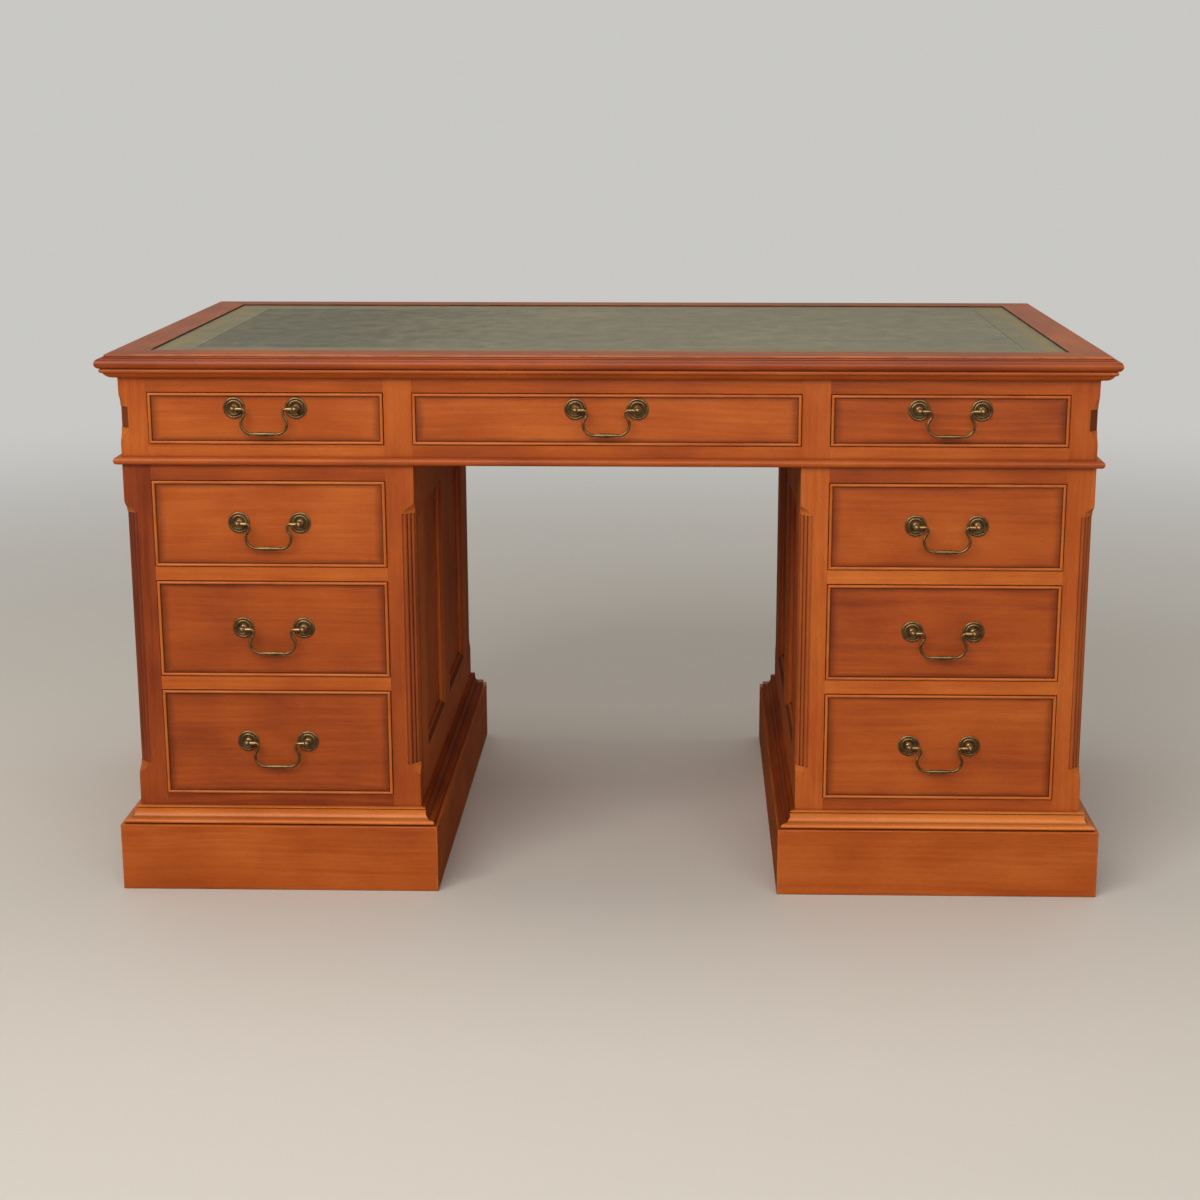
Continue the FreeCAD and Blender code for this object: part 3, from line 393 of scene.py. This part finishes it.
def edge_wear_and_highlight(tree, place):
    """1 where a board's edge is rubbed pale, 0 away from its edges: wear on handled boards, and wear with a
    painted highlight on rounded arrises.
    """
    along, across, deep = insets(tree)
    least, most = sum_up(tree, "MINIMUM", along, across), sum_up(tree, "MAXIMUM", along, across)
    from_edge = sum_up(tree, "MAXIMUM", least, sum_up(tree, "MINIMUM", most, deep))
    patches = fade(tree, noise(tree, place, WEAR_PATCHES), *WEAR_BOUNDS)
    near_edge = fade(tree, from_edge, WEAR_WIDTH, WORN_THROUGH * WEAR_WIDTH)
    worn = sum_up(tree, "MULTIPLY", near_edge, attribute(tree, "handled", "Fac"))
    strength = fade(tree, patches, 0.0, 1.0, LEAST_RUBBED)
    rubbed = sum_up(tree, "MULTIPLY", strength, attribute(tree, "rubbed", "Fac"))
    return sum_up(tree, "MAXIMUM", sum_up(tree, "MULTIPLY", patches, worn), rubbed)


def field_edge_shadow_and_glaze(tree, place):
    """1 in the painted shadow line where a drawer's field meets its bead, and less in the band of darker
    glaze beyond.
    """
    along, across, _ = insets(tree)
    cloud = noise(tree, place, FIELD_CLOUDS)
    edges = []
    for inset, reach in ((along, SHADE_REACH_ENDS), (across, SHADE_REACH_SIDES)):
        inset = sum_up(tree, "SUBTRACT", inset, BEAD)
        line = fade(tree, inset, 2 * FIELD_SHADOW_LINE, FIELD_SHADOW_LINE)
        inset = sum_up(tree, "MULTIPLY_ADD", cloud, -SHADE_CLOUDING * reach, inset)
        shade = fade(tree, inset, SHADE_SPAN[0] * reach, SHADE_SPAN[1] * reach, 0.0, FIELD_SHADE)
        edges.append(sum_up(tree, "MAXIMUM", line, shade))
    return sum_up(tree, "MAXIMUM", *edges)


def wood_material(name, tones, stain, roughness, worn=None):
    """Wood with rings, streaks and pores, and painted shade in its corners and gaps. With no worn colour it
    is for a drawer's field.
    """
    material, tree, shader = new_material(name)
    place = own_place(tree)
    rings = growth_rings(tree, place)
    streaks = noise(tree, place, STREAKS)
    clouds = noise(tree, place, CLOUDS)
    flecks = noise(tree, place, FLECKS)
    pore = fade(tree, noise(tree, place, PORES), *PORE_BOUNDS)
    figure = sum_up(tree, "MULTIPLY_ADD", rings, RING_SHARE, sum_up(tree, "MULTIPLY", streaks, STREAK_SHARE))
    figure = sum_up(tree, "MULTIPLY_ADD", flecks, FLECK_SHARE, figure)
    figure = sum_up(tree, "MULTIPLY_ADD", clouds, CLOUD_SHARE, figure)
    figure = sum_up(tree, "ADD", figure, attribute(tree, "tone", "Fac"))
    shade = ramp(tree, figure, FIGURE_STOPS, tones)
    shade = mix_toward(tree, shade, pore, PORE_STAIN, stain)
    gloss = fade(tree, streaks, *NOISE_MIDDLE, *[roughness + spread for spread in GLOSS_SPREAD])
    if worn is None:
        shade = mix_toward(tree, shade, field_edge_shadow_and_glaze(tree, place), FIELD_EDGE_SHADOW_AND_GLAZE, stain)
    else:
        # Edges rubbed pale by wear, with a painted highlight
        shade = mix_toward(tree, shade, edge_wear_and_highlight(tree, place), WEAR_AND_HIGHLIGHT_SHARE, worn)
        # Sunk and splayed faces and inner walls darkened with painted shade, with glaze on the sunk cants
        stained = attribute(tree, "stained", "Fac")
        shade = mix_toward(tree, shade, stained, SUNK_GLAZE_AND_SHADE, stain)
        gloss = sum_up(tree, "MULTIPLY_ADD", stained, SUNK_DULLNESS, gloss)
    # Painted shade darkens the corners, quirks and gaps between boards
    shade = mix_toward(tree, shade, crevice(tree, CORNER_REACH), CORNER_PAINTED_SHADE, stain)
    height = sum_up(tree, "MULTIPLY_ADD", pore, PORE_HEIGHT, streaks)
    feed(tree, shader, {"Base Color": shade, "Roughness": gloss, "Normal": bump(tree, height, WOOD_BUMP)})
    feed(tree, shader, {"Specular IOR Level": WOOD_SPECULAR})
    return material


def brass_material(tones, grime):
    """Antiqued brass: brown patina in the hollows, and rubbed bright on what stands out, which is also a
    painted highlight.
    """
    material, tree, shader = new_material("antiqued_brass")
    cloud = noise(tree, add(tree, "TexCoord").outputs["Object"], BRASS_CLOUDS)
    rubbed = fade(tree, add(tree, "NewGeometry").outputs["Pointiness"], *BRASS_RIDGES)
    tone = sum_up(tree, "MULTIPLY", cloud, BRASS_CLOUD_SHARE)
    tone = sum_up(tree, "MULTIPLY_ADD", rubbed, BRASS_RUB_AND_HIGHLIGHT_SHARE, tone)
    shade = ramp(tree, tone, BRASS_STOPS, tones)
    shade = mix_toward(tree, shade, crevice(tree, BRASS_HOLLOW), BRASS_HOLLOW_STAIN, grime)
    gloss = fade(tree, cloud, *NOISE_MIDDLE, *BRASS_GLOSS)
    feed(tree, shader, {"Base Color": shade, "Roughness": gloss, "Normal": bump(tree, cloud, BRASS_BUMP)})
    feed(tree, shader, {"Metallic": BRASS_METALLIC})
    return material


def gilt_band(tree):
    """Gold tooling, fillets with a row of small lozenges between them, and a painted shadow along the outer
    edge, where the leather lies below the wood.
    """
    board = parts_of(tree, "grain")
    half = parts_of(tree, "half")
    inset = sum_up(tree, "SUBTRACT", half["Y"], board["Y"])
    step = sum_up(tree, "PINGPONG", board["X"], LOZENGE_STEP)
    off = sum_up(tree, "ABSOLUTE", sum_up(tree, "SUBTRACT", inset, LOZENGE_MIDDLE))
    lozenge = sum_up(tree, "ADD", step, sum_up(tree, "MULTIPLY", off, LOZENGE_SLOPE))
    rim = fade(tree, lozenge, *LOZENGE_RIM)
    gold = sum_up(tree, "MULTIPLY", fade(tree, lozenge, *LOZENGE_HOLE), rim)
    for middle, width in FILLETS:
        off = sum_up(tree, "ABSOLUTE", sum_up(tree, "SUBTRACT", inset, middle))
        gold = sum_up(tree, "MAXIMUM", gold, fade(tree, off, width / 2, width / 2 - FILLET_SOFTNESS))
    haze = sum_up(tree, "MULTIPLY", fade(tree, inset, *HAZE_START), fade(tree, inset, *HAZE_END, 0.0, HAZE))
    return sum_up(tree, "MAXIMUM", gold, haze), fade(tree, inset, *RECESS_SHADOW_REACH)


def leather_material(name, tones, gilt=None, grime=None):
    """Waxed dark green leather with fine pebbled grain and tones paler with a painted sheen. With a gilt
    colour it has worn gold tooling and, in its grime colour, a painted shadow along the outer edge; without
    one it darkens towards its left end.
    """
    material, tree, shader = new_material(name)
    place = own_place(tree)
    cloud = noise(tree, place, LEATHER_CLOUDS)
    mottle = noise(tree, place, MOTTLE)
    fine = noise(tree, place, FINE_MOTTLE)
    cells = add(tree, "TexVoronoi", {"Vector": place, "Scale": PEBBLES_PER_METRE}, feature="DISTANCE_TO_EDGE")
    height = fade(tree, cells.outputs["Distance"], 0.0, PEBBLE_EDGE)
    tone = sum_up(tree, "MULTIPLY", fine, FINE_SHARE)
    tone = sum_up(tree, "MULTIPLY_ADD", cloud, LEATHER_CLOUD_SHARE, tone)
    tone = sum_up(tree, "MULTIPLY_ADD", mottle, MOTTLE_SHARE, tone)
    if gilt is None:
        along = sum_up(tree, "MULTIPLY_ADD", mottle, LEFT_DARKENING_MOTTLE, parts_of(tree, "grain")["X"])
        tone = sum_up(tree, "ADD", tone, fade(tree, along, *LEFT_DARKENING_REACH, *LEFT_DARKENING_TONES))
    shade = ramp(tree, tone, LEATHER_STOPS, tones)
    gloss = fade(tree, cloud, *LEATHER_CLOUD_BOUNDS, *LEATHER_GLOSS)
    if gilt is not None:
        gold, recess_shadow = gilt_band(tree)
        left = fade(tree, noise(tree, place, GILT_WEAR), *GILT_BOUNDS)
        worn = sum_up(tree, "MULTIPLY", gold, left)
        shade = mix_toward(tree, shade, worn, GILT_SHARE, gilt)
        # The grime colour paints the shadow along the strip's outer edge
        shade = mix_toward(tree, shade, recess_shadow, RECESS_SHADOW_SHARE, grime)
        height = sum_up(tree, "MULTIPLY_ADD", gold, GILT_HEIGHT, height)
        feed(tree, shader, {"Metallic": sum_up(tree, "MULTIPLY", worn, GILT_METALLIC)})
    feed(tree, shader, {"Base Color": shade, "Roughness": gloss, "Normal": bump(tree, height, LEATHER_BUMP)})
    feed(tree, shader, {"Specular IOR Level": LEATHER_SPECULAR})
    return material


# Materials, from dark tones to light
SHOW_TONES = colours((98, 35, 8), (138, 55, 12), (174, 79, 17), (198, 104, 34), (216, 124, 50))
FIELD_TONES = colours((92, 33, 8), (132, 52, 12), (170, 76, 17), (192, 98, 32), (208, 116, 46))
LINING_TONES = colours((126, 82, 44), (150, 104, 60), (184, 138, 86), (208, 168, 114), (222, 186, 134))
# A dark stain that also paints shade, and a pale colour for rubbed wear that also paints highlights on
# arrises
STAIN_AND_SHADE, RUBBED_AND_HIGHLIGHT = colours((52, 17, 5), (205, 116, 52))
LINING_STAIN_AND_SHADE, LINING_RUBBED_AND_HIGHLIGHT = colours((96, 64, 36), (216, 180, 128))
BRASS_TONES = colours((106, 82, 54), (146, 117, 78), (216, 184, 128))
# Leather tones, paler and greyer than the dark green leather: they hold a painted sheen
SKIN_AND_SHEEN_TONES = colours((74, 73, 60), (112, 109, 91), (138, 133, 112))
STRIP_AND_SHEEN_TONES = colours((96, 92, 72), (120, 115, 92), (144, 136, 108))
GILT, RECESS_SHADOW, BRASS_GRIME = colours((176, 146, 76), (38, 34, 24), (46, 32, 18))
show_wood = wood_material("show_wood", SHOW_TONES, STAIN_AND_SHADE, SHOW_ROUGHNESS, RUBBED_AND_HIGHLIGHT)
field_wood = wood_material("drawer_field_wood", FIELD_TONES, STAIN_AND_SHADE, SHOW_ROUGHNESS)
lining_wood = wood_material("lining_wood", LINING_TONES, LINING_STAIN_AND_SHADE, LINING_ROUGHNESS, LINING_RUBBED_AND_HIGHLIGHT)
brass = brass_material(BRASS_TONES, BRASS_GRIME)
leather = leather_material("writing_leather", SKIN_AND_SHEEN_TONES)
strip_leather = leather_material("tooled_leather", STRIP_AND_SHEEN_TONES, GILT, RECESS_SHADOW)

# A board: places, faces, its material's number, own coordinates and half sizes, and what its material reads
Shell = namedtuple("Shell", "places faces number grain half tone handled stained rubbed")


def shells_of(node):
    """The closed shells of a node's mesh, one for each board: corner places and faces."""
    mesh = frame["nodes"][node].data
    shells, spots, faces, unmatched = [], {}, [], set()
    for polygon in mesh.polygons:
        loop = []
        for index in polygon.vertices:
            key = tuple(round(value / MICRON) for value in mesh.vertices[index].co)
            loop.append(spots.setdefault(key, len(spots)))
        faces.append(loop)
        for edge in zip(loop, loop[1:] + loop[:1]):
            if edge[::-1] in unmatched:
                unmatched.remove(edge[::-1])
            else:
                unmatched.add(edge)
        if not unmatched:
            shells.append((np.array(list(spots)) * MICRON, faces))
            spots, faces = {}, []
    return shells


def slab(corners, low, high):
    """A slab over an outline of corners, given anticlockwise: places and faces."""
    count = len(corners)
    places = [(x, y, z) for z in (low, high) for x, y in corners]
    sides = [[i, (i + 1) % count, count + (i + 1) % count, count + i] for i in range(count)]
    return np.array(places), [list(range(count))[::-1], list(range(count, 2 * count)), *sides]


def temporary(places, faces):
    """An object that is there only while a cut is made."""
    mesh = bpy.data.meshes.new("temporary")
    mesh.from_pydata(places.tolist(), [], faces)
    return new_object("temporary", mesh)


def cut_away(places, faces, tool_places, tool_faces):
    """A board's places and faces once the solids of a tool are cut from it."""
    board, tool = temporary(places, faces), temporary(tool_places, tool_faces)
    cut = board.modifiers.new("cut", "BOOLEAN")
    cut.object = tool
    cut.solver = "MANIFOLD"
    left = board.evaluated_get(bpy.context.evaluated_depsgraph_get()).data
    places = np.array([vertex.co for vertex in left.vertices])
    faces = [list(polygon.vertices) for polygon in left.polygons]
    for thing in (board, tool):
        bpy.data.meshes.remove(thing.data)
    return places, faces


def tail_tool(front):
    """Solids that run from a drawer's dovetails out through both ends of its front, to open their sockets."""
    low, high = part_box(front)
    tool_places, tool_faces, start = [], [], 0
    for places, _ in shells_of(front.replace("_front", "_box"))[:2]:
        hand = 1.0 if places[:, 0].mean() > (low.x + high.x) / 2 else -1.0
        outer = hand * (hand * places[:, 0]).max()
        rows = places[np.abs(places[:, 0] - outer) < SAME_PLANE]
        tip, root = np.unique(rows[:, 1].round(PLACE_DIGITS))[:2]
        tips, roots = [np.sort(rows[np.abs(rows[:, 1] - y) < SAME_PLANE, 2]) for y in (tip, root)]
        behind = tip + TAIL_REACH * (root - tip)
        ends = tips + TAIL_REACH * (roots[1:-1] - tips)
        tip = tip + SOCKET_LIP
        for foot in range(0, len(tips), 2):
            head = foot + 1
            corners = [(tip, tips[foot] + SOCKET_LIP), (behind, ends[foot] + SOCKET_LIP),
                       (behind, ends[head] - SOCKET_LIP), (tip, tips[head] - SOCKET_LIP)]
            solid, sides = slab(corners, *sorted((outer - hand * END_SKIN, outer + 2 * hand * END_SKIN)))
            # The outline lies in y and z, so the slab is turned to run along x
            tool_places.append(solid[:, [2, 0, 1]])
            tool_faces += [[index + start for index in loop] for loop in sides]
            start += len(solid)
    return np.concatenate(tool_places), tool_faces


def eased(places, faces, edge):
    """A board with flat faces and rounded outer edges: places, faces, their normals, and 1 where rounded."""
    bm = bmesh.new()
    corners = [bm.verts.new(place) for place in places]
    for loop in faces:
        bm.faces.new([corners[index] for index in loop])
    bmesh.ops.dissolve_limit(bm, angle_limit=FLAT_ANGLE, verts=bm.verts, edges=bm.edges)
    bm.normal_update()
    sharp = [line for line in bm.edges if line.is_convex and line.calc_face_angle() > SHARP_ANGLE]
    made = bmesh.ops.bevel(bm, geom=sharp, offset=edge, segments=EDGE_STEPS, profile=EDGE_PROFILE,
                           affect="EDGES", clamp_overlap=True)
    bm.verts.index_update()
    bm.faces.index_update()
    bm.normal_update()
    corners = np.array([vert.co for vert in bm.verts])
    loops = [[vert.index for vert in face.verts] for face in bm.faces]
    normals = np.array([face.normal for face in bm.faces])
    rounded = np.zeros(len(loops))
    rounded[[face.index for face in made["faces"]]] = 1.0
    bm.free()
    return corners, loops, normals, rounded


def grain_of(places):
    """Coordinates from a board's middle with its longest side first, and its half sizes in that order."""
    low, high = places.min(0), places.max(0)
    half = (high - low) / 2
    order = np.argsort(-half, kind="stable")
    return (places - (low + high) / 2)[:, order], half[order]


def marks_of(node, places, faces, normals, rounded, grain, half):
    """How dark each face of a board is with glaze and painted shade, and how pale with wear and a painted
    highlight, as two arrays.
    """
    stained, rubbed = np.zeros(len(faces)), rounded.copy()
    middles = np.array([places[loop].mean(0) for loop in faces])
    outwards = (normals * middles)[:, :2].sum(1)
    upright = np.abs(normals[:, 2]) < UPRIGHT
    if node.endswith("posts"):
        # Sunk cant faces: dark glaze with painted shade; their tongues: wear with a painted highlight
        own_middles = np.array([grain[loop].mean(0) for loop in faces])
        sunk = (half - np.abs(own_middles))[:, 1:].min(1) > CANT_INSET
        stained[upright & sunk] = FRIEZE_CANT_GLAZE_AND_SHADE if node == "frieze_posts" else REED_GLAZE_AND_SHADE
        rubbed[sunk & ~upright] = 1.0
    elif node.endswith("frames"):
        # The splays round the panels get painted shade, darkest on the upward ledges
        splayed = np.abs(normals).max(1) < SQUARE_ON
        stained[splayed] = np.where(normals[splayed, 2] > UPRIGHT, LEDGE_PAINTED_SHADE, SPLAY_PAINTED_SHADE)
    elif node.endswith("plinth_moulding"):
        # A painted shade in the crease at the foot of the hollow
        height = middles[:, 2] - places[:, 2].min()
        stained[(height > HOLLOW_FOOT[0]) & (height < HOLLOW_FOOT[1])] = HOLLOW_FOOT_PAINTED_SHADE
    elif node == "top_border":
        # A painted shadow on the inner walls above the leather; wear with a painted highlight on the top of
        # the front round
        stained[upright & (outwards < 0)] = BORDER_WALL_SHADOW
        drop = places[:, 2].max() - middles[:, 2]
        rubbed[(drop < TOP_ROUND) & (normals[:, 2] < SQUARE_ON) & (outwards > 0)] = 1.0
    return stained * (1 - rounded), rubbed


def piece_of(name, shells, materials, body):
    """One piece made of shells, with a seed for each and their other values as attributes."""
    mesh = bpy.data.meshes.new(name)
    faces, start = [], 0
    point_values = {key: [] for key in ("grain", "half", "seed", "tone", "handled")}
    face_values = {"stained": [], "rubbed": []}
    for shell in shells:
        count = len(shell.places)
        faces += [[index + start for index in loop] for loop in shell.faces]
        point_values["grain"].append(shell.grain)
        point_values["half"].append(np.tile(shell.half, (count, 1)))
        point_values["seed"].append(np.full(count, dice.random()))
        point_values["tone"].append(np.full(count, shell.tone))
        point_values["handled"].append(np.full(count, shell.handled))
        face_values["stained"].append(shell.stained)
        face_values["rubbed"].append(shell.rubbed)
        start += count
    mesh.from_pydata(np.concatenate([shell.places for shell in shells]).tolist(), [], faces)
    mesh.polygons.foreach_set("material_index", [shell.number for shell in shells for _ in shell.faces])
    for material in materials:
        mesh.materials.append(material)
    for domain, values in (("POINT", point_values), ("FACE", face_values)):
        for key, parts in values.items():
            array = np.concatenate(parts).astype(np.float32)
            kind, field = ("FLOAT_VECTOR", "vector") if array.ndim == 2 else ("FLOAT", "value")
            mesh.attributes.new(key, kind, domain).data.foreach_set(field, array.ravel())
    mesh.shade_smooth()
    mesh.set_sharp_from_angle(angle=SHARP_ANGLE)
    piece = new_object(name, mesh)
    normals = piece.modifiers.new("flat_faces", "WEIGHTED_NORMAL")
    normals.keep_sharp = True
    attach(piece, body)
    return piece


def edge_of(node):
    """How far the edges of a node's boards are rounded."""
    if node.endswith("plinth"):
        return PLINTH_EDGE
    return FLUSH_EDGE if node.endswith(FLUSH) else EASED_EDGE


def dress_wood(node, body):
    """Stand eased boards with their own grain in for a wooden node."""
    lining = node == "top_panel" or node.endswith(LINED)
    tones = next((tones for ending, tones in TONES_AND_SHADE.items() if node.endswith(ending)), NO_TONE)
    shells = []
    for number, (places, faces) in enumerate(shells_of(node)):
        _, half = grain_of(places)
        is_bead = node.endswith("drawer_front") and half[1] < BEAD_LIMIT
        is_field = node.endswith("drawer_front") and not is_bead
        tone = BEAD_TONE if is_bead else tones[number % len(tones)]
        tone = dice.uniform(-TONE_SPREAD, TONE_SPREAD) + tone
        places, faces, normals, rounded = eased(places, faces, edge_of(node))
        grain, half = grain_of(places)
        handled = 1.0 if is_bead or node.endswith(HANDLED) else 0.0
        stained, rubbed = marks_of(node, places, faces, normals, rounded, grain, half)
        if is_field:
            places, faces = cut_away(places, faces, *tail_tool(node))
            grain, half = grain_of(places)
            stained = rubbed = np.zeros(len(faces))
        shells.append(Shell(places, faces, int(is_field), grain, half, tone, handled, stained, rubbed))
    materials = [lining_wood] if lining else [show_wood, field_wood]
    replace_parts(piece_of(f"{node}_wood", shells, materials, body), node)


def leather_outlines(reach_x, reach_y):
    """The middle skin's outline, and those of the four mitred strips round it."""
    skin_x = reach_x - STRIP_WIDTH - SEAM
    skin_y = reach_y - STRIP_WIDTH - SEAM
    outlines = [[(-skin_x, -skin_y), (skin_x, -skin_y), (skin_x, skin_y), (-skin_x, skin_y)]]
    for turn in range(4):
        along, out = (reach_x, reach_y) if turn % 2 == 0 else (reach_y, reach_x)
        inner_along, inner_out = along - STRIP_WIDTH, out - STRIP_WIDTH
        strip = [(-along, -out), (along, -out), (inner_along, -inner_out), (-inner_along, -inner_out)]
        for _ in range(turn):
            strip = [(-y, x) for x, y in strip]
        outlines.append(strip)
    return outlines


def dress_leather():
    """A middle skin and four mitred border strips, with a fine seam between them."""
    low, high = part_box("top_leather")
    shells = []
    for number, outline in enumerate(leather_outlines(high.x, high.y)):
        places, faces, _, rounded = eased(*slab(outline, low.z, high.z), LEATHER_EDGE)
        grain, half = grain_of(places)
        if number:
            # The tooling is measured from a strip's outer edge, so its own y points outwards
            middle = np.array(outline).mean(0)
            grain = grain * np.array([1.0, np.sign(middle[np.argmax(np.abs(middle))]), 1.0])
        stained = np.zeros(len(faces))
        shells.append(Shell(places, faces, min(number, 1), grain, half, 0.0, 0.0, stained, rounded))
    piece = piece_of("writing_leather", shells, [leather, strip_leather], "desk")
    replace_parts(piece, "top_leather")


for body, nodes in frame["record"]["behaviour"]["bodies"].items():
    for node in nodes:
        if node.endswith(("_rosettes", "_bail")):
            frame["nodes"][node].data.materials.clear()
            frame["nodes"][node].data.materials.append(brass)
        elif node != "top_leather":
            dress_wood(node, body)
dress_leather()


def make_floor():
    """A plain pale floor that fades into the background away from the desk, and is mirrored dim."""
    mesh = bpy.data.meshes.new("floor")
    reach = FLOOR_SIZE / 2
    corners = [(-reach, -reach, 0), (reach, -reach, 0), (reach, reach, 0), (-reach, reach, 0)]
    mesh.from_pydata(corners, [], [(0, 1, 2, 3)])
    floor = new_object("floor", mesh)
    material, tree, shader = new_material("pale_floor")
    feed(tree, shader, {"Base Color": FLOOR_COLOUR, "Roughness": FLOOR_ROUGHNESS})
    place = add(tree, "NewGeometry").outputs["Position"]
    distance = add(tree, "VectorMath", {0: place}, operation="LENGTH").outputs["Value"]
    far = fade(tree, distance, *FLOOR_FADE)
    ray = add(tree, "LightPath").outputs
    glow = add(tree, "Emission", {"Color": mix(tree, ray["Is Glossy Ray"], BACKGROUND, MIRRORED_FLOOR)})
    share = sum_up(tree, "MAXIMUM", sum_up(tree, "MULTIPLY", far, ray["Is Camera Ray"]), ray["Is Glossy Ray"])
    blend = add(tree, "MixShader", {"Fac": share})
    tree.links.new(shader.outputs[0], blend.inputs[1])
    tree.links.new(glow.outputs[0], blend.inputs[2])
    tree.links.new(blend.outputs[0], tree.nodes["Material Output"].inputs["Surface"])
    mesh.materials.append(material)


def make_world():
    """Soft light from all round. The camera sees a pale background, the polish a backdrop behind the desk."""
    world = bpy.data.worlds.new("studio")
    bpy.context.scene.world = world
    world.use_nodes = True
    tree = world.node_tree
    ray = add(tree, "LightPath").outputs
    way = add(tree, "SeparateXYZ", {"Vector": add(tree, "TexCoord").outputs["Generated"]}).outputs
    mirrored = mix(tree, fade(tree, way["Y"], *BACKDROP_START), MIRRORED_DUSK, MIRRORED_BACKDROP)
    shade = mix(tree, ray["Is Glossy Ray"], AMBIENT, mirrored)
    shade = mix(tree, ray["Is Camera Ray"], shade, BACKGROUND)
    feed(tree, tree.nodes["Background"], {"Color": shade})


def make_card():
    """A dim card across the back of the knee-hole, seen only in the polish, so that its sides look shaded."""
    left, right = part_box("left_pedestal_frames")[1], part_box("right_pedestal_frames")[0]
    corners = [(left.x, left.y, 0), (right.x, left.y, 0), (right.x, left.y, left.z), (left.x, left.y, left.z)]
    mesh = bpy.data.meshes.new("card")
    mesh.from_pydata(corners, [], [(0, 1, 2, 3)])
    card = new_object("card", mesh)
    card.visible_camera = False
    card.visible_diffuse = False
    card.visible_transmission = False
    card.visible_shadow = False
    material, tree, _ = new_material("dim_card")
    glow = add(tree, "Emission", {"Color": MIRRORED_FLOOR})
    tree.links.new(glow.outputs[0], tree.nodes["Material Output"].inputs["Surface"])
    mesh.materials.append(material)


def make_lamp(name, lamp):
    data = bpy.data.lights.new(name, "AREA")
    data.shape = "RECTANGLE"
    data.size, data.size_y = lamp.size
    data.energy = lamp.power
    data.color = lamp.tint
    made = new_object(name, data)
    made.location = lamp.place
    made.rotation_euler = (Vector(lamp.target) - Vector(lamp.place)).to_track_quat("-Z", "Y").to_euler()


def make_camera():
    data = bpy.data.cameras.new("camera")
    data.sensor_width = SENSOR
    data.lens = FOCAL_PIXELS * SENSOR / FRAME_PIXELS
    data.shift_x = -CAMERA_OFF_CENTRE[0] / FRAME_PIXELS
    data.shift_y = CAMERA_OFF_CENTRE[1] / FRAME_PIXELS
    turn = Matrix.Rotation(CAMERA_YAW, 3, "Z") @ Matrix.Rotation(math.pi / 2 - CAMERA_PITCH, 3, "X")
    camera = new_object("camera", data)
    camera.matrix_world = Matrix.Translation(CAMERA_PLACE) @ turn.to_4x4()
    bpy.context.scene.camera = camera


make_floor()
make_card()
make_world()
for lamp_name, lamp in LAMPS.items():
    make_lamp(lamp_name, lamp)
make_camera()
bpy.context.scene.view_settings.view_transform = "Standard"
